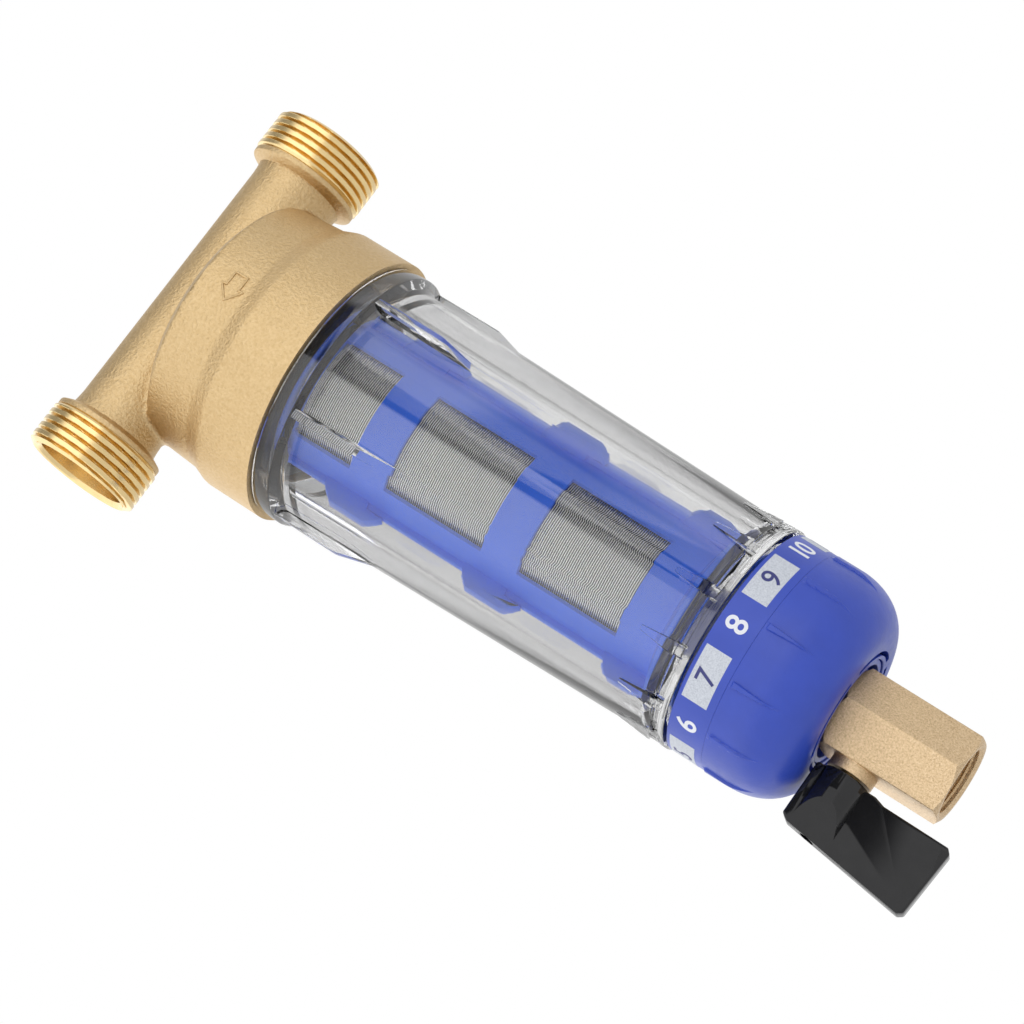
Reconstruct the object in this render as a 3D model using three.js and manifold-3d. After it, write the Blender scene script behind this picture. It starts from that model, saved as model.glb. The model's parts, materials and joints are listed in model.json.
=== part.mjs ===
// Inline water filter: a brass T head with a clear screw-in bowl, a screen on a moulded cage, a
// siphon tube with suction nozzles turned by a cap under the bowl, and a small ball valve as drain.
//
// Millimetres, +Z up. The origin is where the axis of the pipe run (X) meets the axis of the bowl
// (Z). Water enters at +X and leaves at -X, the bowl hangs towards -Z.
import * as THREE from 'three';
import { mergeVertices } from 'three/addons/utils/BufferGeometryUtils.js';
import Module from 'manifold-3d';

const wasm = await Module();
wasm.setup();

// ---------------------------------------------------------------- driving dimensions
const GAP = 0.3; // running and assembly clearance between neighbouring pieces
const SIDES = 36; // facets round the large turned pieces
const PORT_SIDES = 24; // facets round the pipe and its ports
const CAGE_SIDES = 24; // facets round the cage; its strips start and end on facet edges
const SKIM = 0.1; // how far a cutter runs past the face it opens
const SMALL_SIDES = 16; // facets round the small turned pieces

const PORT = {
  half: 57.06, // pipe axis origin to port face
  crest: 16.62, // G1 thread, outside
  root: 15.15,
  pitch: 2.309,
  turns: 5,
  collar: 16.2,
  start: 42.0, // where the collar leaves the pipe
  inside: 6.0, // how far the turned port reaches back into the pipe
  collarRise: 1.6,
  lip: 0.85, // plain end after the last thread
  bore: 13.1,
  boreDepth: 15.0,
  chamfer: 1.2,
};
const PIPE = { radius: 12.7, bore: 9.6, flare: 0.4 };
const DRUM = {
  crown: -2.0,
  domeRadius: 22.0,
  dome: -3.6,
  shoulder: 33.0,
  top: -7.2,
  edge: 2.2, // height of the rounding at the rim of the dome
  upperTop: 36.3,
  upper: 37.3,
  stepTop: -24.0,
  stepBottom: -28.8,
  lower: 39.1,
  bottom: -45.5,
};
const CHAMBER = { radius: 35.9, neck: 33.6, shoulder: -22.0, roof: -16.0, roofRadius: 27.6 };
const OUTLET_TUBE = { outer: 21.0, inner: 15.5, roof: -4.0, bottom: -37.6, turn: 6.0 };
const INLET_PASSAGE = { x: 27.0, radius: 5.6, wall: 18.0 };

const BOWL = {
  rim: -23.0,
  rimRadius: 32.6,
  threadRadius: 35.5,
  threadTop: -27.0,
  flange: 37.6,
  flangeTop: DRUM.bottom - GAP,
  flangeBottom: -52.6,
  flangeRound: 1.2,
  wallTop: 34.5,
  wallBottom: 31.7,
  grooveTop: -168.5,
  grooveBottom: -171.0,
  groove: 30.4,
  foot: 32.3,
  bottom: -172.8,
  boreTop: 28.0,
  boreBottom: 27.2,
  floor: -166.3,
  fillet: 2.0,
  neck: 15.0,
  neckBore: 10.15,
  neckBottom: -188.0,
};
const WRENCH_RIB = { count: 6, phase: 30, radius: 37.0, width: 2.6, flatEnd: -72.0, end: -83.5 };
const GUSSET = { count: 12, tip: -158.3, tipWidth: 1.3, footWidth: 3.4, tipRadius: 32.4, radius: 33.0 };
const LUG = { width: 3.4, radius: 32.5, overlap: 0.4 };

const SCREEN = { inner: 20.2, outer: 20.7, top: -44.8, bottom: -161.0 };
const CAGE = {
  inner: 21.0,
  outer: 22.2,
  top: -38.2,
  flangeBottom: -42.5,
  collarBottom: -44.4,
  flange: 26.6,
  spigot: 15.1,
  spigotTop: -32.0,
  spigotWall: 2.2,
  bands: [[-66.2, -77.3], [-108.0, -119.3], [-149.7, -161.2]],
  stripCentre: 43.5, // degrees from -Y towards +X
  stripWidth: 45.0, // degrees
  strips: 3,
  ridge: 23.6,
  ridgeWidth: 2.0,
  foot: 25.8,
  footTop: -161.2,
  footBottom: -164.9,
  hubRadius: 5.2,
  hubBore: 3.1,
  hubBottom: -41.0,
  hubEnd: -42.7,
  armWidth: 2.0,
  footSlope: 1.5,
};
const FIN = {
  count: 3,
  first: -60.7,
  pitch: 43.8,
  length: 16.2,
  rise: 4.2,
  radius: 26.7,
  thickness: 3.4,
  hookDepth: 2.8,
  hookDrop: 2.4,
};
const TOP_SEAL = { inner: 23.9, outer: 27.3, top: -42.8, bottom: -44.9 };
const BOWL_ORING = { ring: 34.3, section: 1.1, z: -24.3 };
const FOOT_BUSH = { inner: 13.6, outer: 19.6, top: -162.6, bottom: -166.0 };

const KNOB = {
  joint: -184.2, // where the grip starts under the dial ring
  grip: 31.9,
  spigot: 29.8,
  top: -173.4,
  cornerStart: -191.0,
  cornerRadial: 12.5,
  cornerSteps: 5,
  bottom: -207.0,
  wall: 3.0,
  hub: 16.4,
  bore: 12.4,
  recess: 15.4,
  recessTop: -203.2,
  webTop: -198.6,
  webEdge: 21.0,
  hubTop: -192.6,
};
const GRIP_RIB = { count: 12, width: 1.1, proud: 0.5, top: -185.6, bottom: -199.0 };
const DIAL = { outer: 31.9, inner: 30.1, top: -173.5, bottom: -183.9 };
const COVER = { inner: 15.6, outer: 26.5, top: -173.5, bottom: -175.5 };

const SPINDLE = {
  top: -157.4,
  shaft: 9.6,
  bore: 5.5,
  lowerBore: 4.6,
  tubeStop: -172.0,
  socket: 12.0,
  socketTop: -190.6,
  socketBore: 8.3,
  socketFloor: -193.0,
  bottom: -204.6,
  grooveDepth: 2.2,
  grooveWidth: 2.8,
  grooves: [-176.0, -182.0],
};
const SHAFT_ORING = { ring: 8.75, section: 1.0 };
const CLIP = { inner: 9.9, outer: 13.2, top: -164.6, bottom: -165.9 };
const WASHER = { inner: 9.9, outer: 14.6, top: -188.3, bottom: -190.3 };
const LOCK_RING = { inner: 13.6, outer: 15.1, top: -203.5, bottom: -206.6 };

const SIPHON = { outer: 5.2, bore: 3.6, top: -47.0, bottom: -171.7, cap: 2.0 };
const PIN = { radius: 2.8, collar: 4.9, collarTop: -43.9, top: -37.4 };
const NOZZLES = [-54.0, -64.5, -85.0, -99.0, -127.0, -141.5]; // heights of the suction nozzles
const NOZZLE = {
  tip: 19.8,
  root: 5.5,
  slot: 1.2,
  wall: 1.0,
  width: 3.2,
  rootHeight: 6.0,
  tipHeight: 12.0,
  hole: 4.0,
};

const VALVE = {
  acrossFlats: 22.6,
  top: -205.2,
  bottom: -240.2,
  chamfer: 1.1,
  centre: -216.3,
  spigot: 8.0,
  spigotTop: -193.4,
  throat: 5.0,
  cavity: 9.2,
  cavityTop: -207.0,
  boss: 6.4,
  bossEnd: -14.3,
  bossRoot: 6.0,
  stemHole: 3.3,
};
const BALL = { radius: 8.0, bore: 5.0, slotWidth: 2.8, slotDepth: 1.8 };
const SEAT = { inner: 5.6, outer: 8.8, near: 4.7, far: 9.0, edge: 7.6, innerNear: 6.4 };
const RETAINER = { inner: 6.2, outer: 8.8, top: -225.8, bottom: -230.4 };
const STEM = {
  radius: 3.0,
  neck: 1.8, // bottom of the O-ring groove
  tang: 2.2,
  tangHalf: 2.9,
  tangStart: -6.6,
  tangEnd: -9.1,
  end: -24.0,
  screwHole: 1.4,
  screwDepth: 5.4,
};
const STEM_ORING = { ring: 2.6, section: 0.5, x: -11.6, land: 0.9 };
const LEVER = {
  top: -207.9, // clears the rim of the cap through the whole quarter turn
  bottom: -248.0,
  neckX: -14.8,
  innerX: -16.0,
  outerTopX: -31.8,
  outerBottomX: -36.8,
  thickness: 5.0,
  hubRadius: 6.6,
  hubBottom: -226.4,
  rampStart: -22.6,
  rampEnd: -30.6,
  rampHalf: 2.2, // half width of the hub where the ramps run into the handle
  stemBore: 3.3,
  screwWell: 2.1,
  wellFloor: -27.0,
};
const LEVER_SCREW = { head: 1.8, headThick: 1.8, shank: 1.1, end: -19.0 };

// ---------------------------------------------------------------- finishes
const FINISH = {
  castBrass: { color: 0xcfb388, roughness: 0.42, metalness: 0.9 },
  turnedBrass: { color: 0xc9a66b, roughness: 0.28, metalness: 1.0 },
  clear: { color: 0xdfe3e6, roughness: 0.06, metalness: 0.0, transparent: true, opacity: 0.35 },
  bluePlastic: { color: 0x3d55b8, roughness: 0.38, metalness: 0.0 },
  steelMesh: { color: 0xa3a3a6, roughness: 0.4, metalness: 0.9 },
  blackRubber: { color: 0x1c1c1e, roughness: 0.7, metalness: 0.0 },
  blackPlastic: { color: 0x222224, roughness: 0.35, metalness: 0.0 },
  whitePlastic: { color: 0xe6e6e2, roughness: 0.45, metalness: 0.0 },
  chrome: { color: 0xd8dade, roughness: 0.12, metalness: 1.0 },
  steel: { color: 0xb4b6ba, roughness: 0.3, metalness: 1.0 },
};

const group = new THREE.Group();
const add = (name, geometry, finish) => {
  const mesh = new THREE.Mesh(geometry, new THREE.MeshStandardMaterial(FINISH[finish]));
  mesh.name = name;
  group.add(mesh);
  return mesh;
};

// ---------------------------------------------------------------- geometry helpers
// Bare closed shell: shared vertices merged, collapsed triangles dropped, faces pointing out.
function shell(geometry) {
  let bare = geometry.clone();
  bare.deleteAttribute('normal');
  bare.deleteAttribute('uv');
  bare = mergeVertices(bare, 1e-4);
  const at = bare.attributes.position;
  const old = bare.index.array;
  const kept = [];
  const [a, b, c] = [new THREE.Vector3(), new THREE.Vector3(), new THREE.Vector3()];
  let volume = 0;
  for (let i = 0; i < old.length; i += 3) {
    const [i0, i1, i2] = [old[i], old[i + 1], old[i + 2]];
    if (i0 === i1 || i1 === i2 || i2 === i0) continue;
    kept.push(i0, i1, i2);
    a.fromBufferAttribute(at, i0);
    b.fromBufferAttribute(at, i1);
    c.fromBufferAttribute(at, i2);
    volume += a.dot(b.cross(c));
  }
  bare.setIndex(volume < 0 ? kept.reverse() : kept);
  bare.computeVertexNormals();
  return bare;
}

const solid = (geometry) => {
  const bare = shell(geometry);
  return new wasm.Manifold(new wasm.Mesh({
    numProp: 3,
    vertProperties: new Float32Array(bare.attributes.position.array),
    triVerts: new Uint32Array(bare.index.array),
  }));
};

const surface = (manifold) => {
  const { vertProperties, triVerts } = manifold.getMesh();
  const geometry = new THREE.BufferGeometry();
  geometry.setAttribute('position', new THREE.BufferAttribute(new Float32Array(vertProperties), 3));
  geometry.setIndex(new THREE.BufferAttribute(new Uint32Array(triVerts), 1));
  geometry.computeVertexNormals();
  return geometry;
};

const join = (first, ...rest) => rest.reduce((sum, piece) => sum.add(piece), first);
const cut = (first, ...rest) => rest.reduce((left, piece) => left.subtract(piece), first);

// Turned shape round Z from [radius, z] points; the profile is closed back to its first point.
function turned(points, sides = SIDES) {
  const profile = points.map(([r, z]) => new THREE.Vector2(r, z));
  profile.push(profile[0].clone());
  return shell(new THREE.LatheGeometry(profile, sides).rotateX(Math.PI / 2));
}

// Ring or tube round Z with a rectangular section.
const ring = (inner, outer, top, bottom, sides = SIDES) =>
  turned([[inner, bottom], [outer, bottom], [outer, top], [inner, top]], sides);

// Solid rod round Z.
const rod = (radius, top, bottom, sides = SMALL_SIDES) =>
  turned([[0, bottom], [radius, bottom], [radius, top], [0, top]], sides);

// The same shapes round X: rotating about Y takes +Z to +X.
const alongX = (geometry) => geometry.rotateY(Math.PI / 2);
const rodX = (radius, from, to, sides = SMALL_SIDES) => alongX(rod(radius, to, from, sides));

const box = (x0, x1, y0, y1, z0, z1) =>
  new THREE.BoxGeometry(x1 - x0, y1 - y0, z1 - z0)
    .translate((x0 + x1) / 2, (y0 + y1) / 2, (z0 + z1) / 2);

const shapeOf = (points) => new THREE.Shape(points.map(([x, y]) => new THREE.Vector2(x, y)));

// Flat plate standing in the XZ plane, outline given as [x, z] points, centred on y = 0.
const plateXZ = (points, thickness) =>
  new THREE.ExtrudeGeometry(shapeOf(points), { depth: thickness, bevelEnabled: false })
    .translate(0, 0, -thickness / 2)
    .rotateX(Math.PI / 2);

// Plate in a half plane through Z, outline [radius, z], turned to an angle from -Y towards +X.
const fin = (points, thickness, degrees) =>
  plateXZ(points, thickness).rotateZ(THREE.MathUtils.degToRad(degrees - 90));

// Piece of a tube between two angles, measured from -Y towards +X.
function arcWall(inner, outer, top, bottom, fromDegrees, toDegrees, steps = 4) {
  const point = (radius, degrees) => {
    const angle = THREE.MathUtils.degToRad(degrees - 90);
    return new THREE.Vector2(radius * Math.cos(angle), radius * Math.sin(angle));
  };
  const along = (i) => THREE.MathUtils.lerp(fromDegrees, toDegrees, i / steps);
  const outline = [];
  for (let i = 0; i <= steps; i += 1) outline.push(point(outer, along(i)));
  for (let i = steps; i >= 0; i -= 1) outline.push(point(inner, along(i)));
  const depth = top - bottom;
  return new THREE.ExtrudeGeometry(new THREE.Shape(outline), { depth, bevelEnabled: false })
    .translate(0, 0, bottom);
}

const everyAngle = (count, phase = 0) =>
  Array.from({ length: count }, (_, i) => phase + (360 / count) * i);

// ---------------------------------------------------------------- head
// Collar, thread crests and roots, then the plain lip of one port.
function portGeometry() {
  const { half, crest, root, pitch, turns, collar, start, collarRise, inside, lip } = PORT;
  const threadStart = half - pitch * (turns + 0.5);
  const profile = [
    [0, start - inside],
    [PIPE.radius - PIPE.flare, start - inside],
    [PIPE.radius + PIPE.flare, start],
    [collar, start + collarRise],
    [collar, threadStart - pitch / 2],
  ];
  for (let i = 0; i < turns; i += 1) {
    profile.push([root, threadStart + pitch * i]);
    profile.push([crest, threadStart + pitch * (i + 0.5)]);
  }
  profile.push([root, half - lip], [root, half], [0, half]);
  return alongX(turned(profile, PORT_SIDES));
}

function portBore() {
  const { half, bore, boreDepth, chamfer } = PORT;
  return alongX(turned([
    [0, half - boreDepth],
    [bore, half - boreDepth],
    [bore, half - chamfer],
    [bore + chamfer + SKIM, half + SKIM],
    [0, half + SKIM],
  ], PORT_SIDES));
}

// Domed top, step and skirt of the drum.
const drum = () => turned([
  [0, DRUM.crown],
  [DRUM.domeRadius, DRUM.dome],
  [DRUM.shoulder, DRUM.top],
  [DRUM.upperTop, DRUM.top - DRUM.edge],
  [DRUM.upper, DRUM.stepTop],
  [DRUM.lower, DRUM.stepBottom],
  [DRUM.lower, DRUM.bottom],
  [0, DRUM.bottom],
]);

// Space in the drum that the rim of the bowl screws into.
const chamber = () => turned([
  [0, CHAMBER.roof],
  [CHAMBER.roofRadius, CHAMBER.roof],
  [CHAMBER.neck, CHAMBER.shoulder],
  [CHAMBER.radius, CHAMBER.shoulder],
  [CHAMBER.radius, DRUM.bottom - 1],
  [0, DRUM.bottom - 1],
]);

function headCasting() {
  const opposite = (manifold) => manifold.mirror([1, 0, 0]);
  const port = solid(portGeometry());
  const bore = solid(portBore());
  const pipe = solid(rodX(PIPE.radius, -PORT.start, PORT.start, PORT_SIDES));
  const outside = join(solid(drum()), pipe, port, opposite(port));
  const hollow = cut(outside, solid(chamber()), bore, opposite(bore));
  const outletTube = solid(rod(OUTLET_TUBE.outer, CHAMBER.roof + 1, OUTLET_TUBE.bottom, SIDES));
  const { x, radius, wall } = INLET_PASSAGE;
  return surface(cut(
    join(hollow, outletTube),
    solid(rodX(PIPE.bore, -PORT.half, OUTLET_TUBE.inner - OUTLET_TUBE.turn)),
    solid(rod(OUTLET_TUBE.inner, OUTLET_TUBE.roof, OUTLET_TUBE.bottom - 1)),
    solid(rodX(PIPE.bore, wall, PORT.half)),
    solid(rod(radius, 0, CHAMBER.roof - 1).translate(x, 0, 0)),
  ));
}

// ---------------------------------------------------------------- bowl
function bowlWallRadius(z) {
  const t = (z - BOWL.flangeBottom) / (BOWL.grooveTop - BOWL.flangeBottom);
  return THREE.MathUtils.lerp(BOWL.wallTop, BOWL.wallBottom, t);
}

// Rib that a strap wrench bears on, with a sloping foot.
function wrenchRib(degrees) {
  const { radius, width, flatEnd, end } = WRENCH_RIB;
  const root = BOWL.wallBottom - 1;
  const top = (BOWL.flangeTop + BOWL.flangeBottom) / 2;
  const outline = [
    [root, top],
    [radius, top],
    [radius, flatEnd],
    [bowlWallRadius(end), end],
    [root, end],
  ];
  return solid(fin(outline, width, degrees));
}

// Wedge that widens towards the foot of the bowl: two rectangles, hulled.
function gusset(degrees) {
  const { tip, tipWidth, footWidth, tipRadius, radius } = GUSSET;
  const corners = [];
  for (const side of [-1, 1]) {
    corners.push([BOWL.groove, (side * tipWidth) / 2, tip], [tipRadius, (side * tipWidth) / 2, tip]);
    corners.push([BOWL.groove, (side * footWidth) / 2, BOWL.grooveTop]);
    corners.push([radius, (side * footWidth) / 2, BOWL.grooveTop]);
  }
  return wasm.Manifold.hull(corners).rotate([0, 0, degrees - 90]);
}

// Square lug in the groove under each gusset.
function lug(degrees) {
  const { width, radius, overlap } = LUG;
  const [top, bottom] = [BOWL.grooveTop + overlap, BOWL.grooveBottom - overlap];
  const root = BOWL.groove - 1;
  return solid(fin([[root, top], [radius, top], [radius, bottom], [root, bottom]], width, degrees));
}

// Wall, screw rim and neck of the bowl as one turned profile.
function bowlProfile() {
  const b = BOWL;
  const outside = [
    [b.rimRadius, b.rim],
    [b.rimRadius, b.threadTop],
    [b.threadRadius, b.threadTop - 1],
    [b.threadRadius, b.flangeTop],
    [b.flange, b.flangeTop],
    [b.flange, b.flangeBottom + b.flangeRound],
    [b.wallTop, b.flangeBottom],
    [b.wallBottom, b.grooveTop],
    [b.groove, b.grooveTop],
    [b.groove, b.grooveBottom],
    [b.foot, b.grooveBottom],
    [b.foot, b.bottom],
    [b.neck, b.bottom],
    [b.neck, b.neckBottom],
  ];
  const inside = [
    [b.neckBore, b.neckBottom],
    [b.neckBore, b.floor],
    [b.boreBottom - b.fillet, b.floor],
    [b.boreBottom, b.floor + b.fillet],
    [b.boreTop, b.rim],
  ];
  return turned([...outside, ...inside]);
}

function bowl() {
  const ribs = everyAngle(WRENCH_RIB.count, WRENCH_RIB.phase).map(wrenchRib);
  const gussets = everyAngle(GUSSET.count).map(gusset);
  const lugs = everyAngle(GUSSET.count).map(lug);
  return surface(join(solid(bowlProfile()), ...ribs, ...gussets, ...lugs));
}

// ---------------------------------------------------------------- cage and screen
// Radial guide fin: sloped start, plateau near the bowl wall, then a rounded corner and a hooked
// tip, except on the lowest fin, which runs out into the foot of the cage.
function guideFin(degrees, index) {
  const { radius, thickness, rise, length, hookDepth, hookDrop } = FIN;
  const top = FIN.first - FIN.pitch * index;
  const root = CAGE.outer - 0.6;
  const end = top - length;
  const start = [[root, top + 0.8], [CAGE.ridge, top], [radius, top - rise]];
  const hook = [
    [radius, end + hookDrop / 2],
    [radius - hookDepth / 3, end - hookDrop / 4],
    [radius - hookDepth, end - hookDrop],
    [CAGE.ridge + GAP, end + hookDrop],
    [root, end + hookDrop + 0.8],
  ];
  const runOutEnd = CAGE.footTop - CAGE.footSlope;
  const runOut = [[radius, CAGE.footTop + hookDrop], [CAGE.foot, runOutEnd], [root, runOutEnd]];
  return solid(fin([...start, ...(index < FIN.count - 1 ? hook : runOut)], thickness, degrees));
}

// Narrow ridge down the middle of a strip, with its guide fins.
function ridgeWithFins(degrees) {
  const [top, bottom, root] = [CAGE.flangeBottom + 0.5, CAGE.footTop - 0.5, CAGE.outer - 0.6];
  const outline = [[root, top], [CAGE.ridge, top], [CAGE.ridge, bottom], [root, bottom]];
  const fins = Array.from({ length: FIN.count }, (_, i) => guideFin(degrees, i));
  return join(solid(fin(outline, CAGE.ridgeWidth, degrees)), ...fins);
}

// Everything in the wall of the cage between its strips and bands is open to the water.
function cageWindows() {
  const c = CAGE;
  const heights = [
    [c.collarBottom, c.bands[0][0]],
    [c.bands[0][1], c.bands[1][0]],
    [c.bands[1][1], c.bands[2][0]],
  ];
  const strip = c.stripWidth / 2;
  const gap = 360 / c.strips - strip;
  const steps = (360 / c.strips - c.stripWidth) / (360 / CAGE_SIDES);
  return everyAngle(c.strips).flatMap((degrees) => heights.map(([top, bottom]) => solid(
    arcWall(c.inner - 1, c.outer + 1, top, bottom, degrees + strip, degrees + gap, steps),
  )));
}

// Collar, tube and foot as one turned profile.
function cageProfile() {
  const c = CAGE;
  const mouth = c.spigot - c.spigotWall;
  return turned([
    [mouth, c.spigotTop],
    [c.spigot, c.spigotTop],
    [c.spigot, c.top],
    [c.flange, c.top],
    [c.flange, c.flangeBottom],
    [c.outer, c.flangeBottom],
    [c.outer, c.footTop],
    [c.foot, c.footTop - c.footSlope],
    [c.foot, c.footBottom],
    [c.inner, c.footBottom],
    [c.inner, c.collarBottom],
    [mouth, c.collarBottom],
  ], CAGE_SIDES);
}

// Bearing for the pin of the siphon tube, on three arms.
function pinBearing() {
  const c = CAGE;
  const [inner, outer] = [c.hubRadius - 0.8, c.spigot - 1];
  const arm = [[inner, c.top], [outer, c.top], [outer, c.hubBottom], [inner, c.hubBottom]];
  const arms = everyAngle(c.strips).map((degrees) => solid(fin(arm, c.armWidth, degrees)));
  return join(solid(ring(c.hubBore, c.hubRadius, c.top, c.hubEnd, SMALL_SIDES)), ...arms);
}

// Drawn with a strip centred on -Y and its edges on facet edges, then turned into place.
function cageFrame() {
  const half = CAGE.stripWidth / 2;
  const tube = solid(cageProfile()).rotate([0, 0, half]);
  const strips = everyAngle(CAGE.strips).map(ridgeWithFins);
  const frame = join(cut(tube, ...cageWindows()), pinBearing(), ...strips);
  return surface(frame.rotate([0, 0, CAGE.stripCentre]));
}

const screenSleeve = () => ring(SCREEN.inner, SCREEN.outer, SCREEN.top, SCREEN.bottom)
  .rotateZ(THREE.MathUtils.degToRad(CAGE.stripCentre + CAGE.stripWidth / 2));

// ---------------------------------------------------------------- seals and small rings
const oRing = (radius, section, z, sides = SMALL_SIDES) =>
  new THREE.TorusGeometry(radius, section, 6, sides).translate(0, 0, z);

// Open snap ring.
const retainingClip = () => arcWall(CLIP.inner, CLIP.outer, CLIP.top, CLIP.bottom, 20, 340, 14);

// ---------------------------------------------------------------- siphon
function spindle() {
  const s = SPINDLE;
  const half = s.grooveWidth / 2;
  const groove = (z) => [
    [s.shaft, z + half],
    [s.shaft - s.grooveDepth, z + half],
    [s.shaft - s.grooveDepth, z - half],
    [s.shaft, z - half],
  ];
  return turned([
    [s.bore, s.top],
    [s.shaft, s.top],
    ...s.grooves.flatMap(groove),
    [s.shaft, s.socketTop],
    [s.socket, s.socketTop],
    [s.socket, s.bottom],
    [s.socketBore, s.bottom],
    [s.socketBore, s.socketFloor],
    [s.lowerBore, s.socketFloor],
    [s.lowerBore, s.tubeStop],
    [s.bore, s.tubeStop],
  ], SMALL_SIDES);
}

// Suction nozzles look towards +X and -X in turn.
const nozzleSide = (index) => (index % 2 === 0 ? 1 : -1);

function siphonTube() {
  const { outer, bore, top, bottom, cap } = SIPHON;
  const tube = solid(turned([
    [0, top],
    [outer, top],
    [outer, bottom],
    [bore, bottom],
    [bore, top - cap],
    [0, top - cap],
  ], SMALL_SIDES));
  const half = NOZZLE.slot / 2;
  const holes = NOZZLES.map((z, i) => {
    const [from, to] = nozzleSide(i) > 0 ? [0, outer + 1] : [-outer - 1, 0];
    return solid(box(from, to, -half, half, z - NOZZLE.hole / 2, z + NOZZLE.hole / 2));
  });
  return surface(cut(tube, ...holes));
}

// Flat funnel from the tube to a slot just inside the screen.
function suctionNozzle(index) {
  const { tip, root, slot, wall, width, rootHeight, tipHeight } = NOZZLE;
  const z = NOZZLES[index];
  const trapezium = (from, to, halfRoot, halfTip) => [
    [from, z - halfRoot],
    [to, z - halfTip],
    [to, z + halfTip],
    [from, z + halfRoot],
  ];
  const angle = 90 * nozzleSide(index);
  const outside = fin(trapezium(root, tip, rootHeight / 2, tipHeight / 2), width, angle);
  const inside = fin(
    trapezium(root - 1, tip + 1, rootHeight / 2 - wall, tipHeight / 2 - wall),
    slot,
    angle,
  );
  return surface(cut(solid(outside), solid(inside)));
}

function siphonPin() {
  const { radius, collar, collarTop, top } = PIN;
  const foot = SIPHON.top + GAP;
  return turned([
    [0, foot],
    [collar, foot],
    [collar, collarTop],
    [radius, collarTop],
    [radius, top],
    [0, top],
  ], SMALL_SIDES);
}

// ---------------------------------------------------------------- cap and dial
// Outside of the cap: a straight grip that rounds into the flat bottom.
function knobOutline() {
  const k = KNOB;
  const outline = [[k.spigot, k.top], [k.spigot, k.joint], [k.grip, k.joint]];
  for (let i = 0; i <= k.cornerSteps; i += 1) {
    const angle = (Math.PI / 2) * (i / k.cornerSteps);
    outline.push([
      k.grip - k.cornerRadial * (1 - Math.cos(angle)),
      k.cornerStart - (k.cornerStart - k.bottom) * Math.sin(angle),
    ]);
  }
  return outline;
}

function gripRib(degrees) {
  const { width, proud, top, bottom } = GRIP_RIB;
  const { grip, cornerStart } = KNOB;
  return solid(fin([
    [grip - 2, top],
    [grip + proud, top],
    [grip + proud, cornerStart],
    [grip - 2, bottom],
  ], width, degrees));
}

function knob() {
  const k = KNOB;
  const well = k.spigot - k.wall;
  const body = solid(turned([
    ...knobOutline(),
    [k.recess, k.bottom],
    [k.recess, k.recessTop],
    [k.bore, k.recessTop],
    [k.bore, k.hubTop],
    [k.hub, k.hubTop],
    [k.hub, k.webTop],
    [k.webEdge, k.webTop],
    [well, k.cornerStart],
    [well, k.top],
  ]));
  return surface(join(body, ...everyAngle(GRIP_RIB.count).map(gripRib)));
}

// ---------------------------------------------------------------- drain valve
function hexPrism(top, bottom) {
  const radius = VALVE.acrossFlats / Math.sqrt(3);
  const corners = everyAngle(6).map((degrees) => {
    const angle = THREE.MathUtils.degToRad(degrees - 90);
    return [radius * Math.cos(angle), radius * Math.sin(angle)];
  });
  const depth = top - bottom;
  return new THREE.ExtrudeGeometry(shapeOf(corners), { depth, bevelEnabled: false })
    .translate(0, 0, bottom);
}

// Both ends of the hexagon are turned to a cone that takes its corners off.
function cornerCone() {
  const { acrossFlats, top, bottom, chamfer } = VALVE;
  const flat = acrossFlats / 2;
  const corner = acrossFlats / Math.sqrt(3) + SKIM;
  return solid(turned([
    [0, top],
    [flat, top],
    [corner, top - chamfer * 2],
    [corner, bottom + chamfer],
    [flat, bottom],
    [0, bottom],
  ]));
}

// Ball cavity, open at the outlet.
const valveCavity = () => turned([
  [0, VALVE.cavityTop],
  [VALVE.cavity, VALVE.cavityTop],
  [VALVE.cavity, VALVE.bottom + 1],
  [VALVE.cavity + 1 + SKIM, VALVE.bottom - SKIM],
  [0, VALVE.bottom - SKIM],
], SMALL_SIDES);

function valveBody() {
  const v = VALVE;
  const hex = solid(hexPrism(v.top, v.bottom)).intersect(cornerCone());
  const boss = solid(rodX(v.boss, v.bossEnd, -v.bossRoot).translate(0, 0, v.centre));
  const spigot = solid(rod(v.spigot, v.spigotTop, v.top - 1));
  return surface(cut(
    join(hex, boss, spigot),
    solid(rod(v.throat, v.spigotTop + 1, v.cavityTop - 2)),
    solid(valveCavity()),
    solid(rodX(v.stemHole, v.bossEnd - 1, -v.bossRoot).translate(0, 0, v.centre)),
  ));
}

function ball() {
  const { radius, bore, slotWidth, slotDepth } = BALL;
  const sphere = solid(new THREE.SphereGeometry(radius, 16, 10));
  const slot = box(-radius - 1, -radius + slotDepth, -slotWidth / 2, slotWidth / 2, -radius, radius);
  return surface(cut(sphere, solid(rod(bore, radius + 1, -radius - 1)), solid(slot)))
    .translate(0, 0, VALVE.centre);
}

// Ball seat; side is +1 above the ball and -1 below it.
const ballSeat = (side) => turned([
  [SEAT.inner, SEAT.far],
  [SEAT.outer, SEAT.far],
  [SEAT.outer, SEAT.near],
  [SEAT.edge, SEAT.near],
  [SEAT.inner, SEAT.innerNear],
].map(([r, z]) => [r, VALVE.centre + side * z]), SMALL_SIDES);

const seatRetainer = () => ring(RETAINER.inner, RETAINER.outer, RETAINER.top, RETAINER.bottom, SMALL_SIDES);

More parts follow.
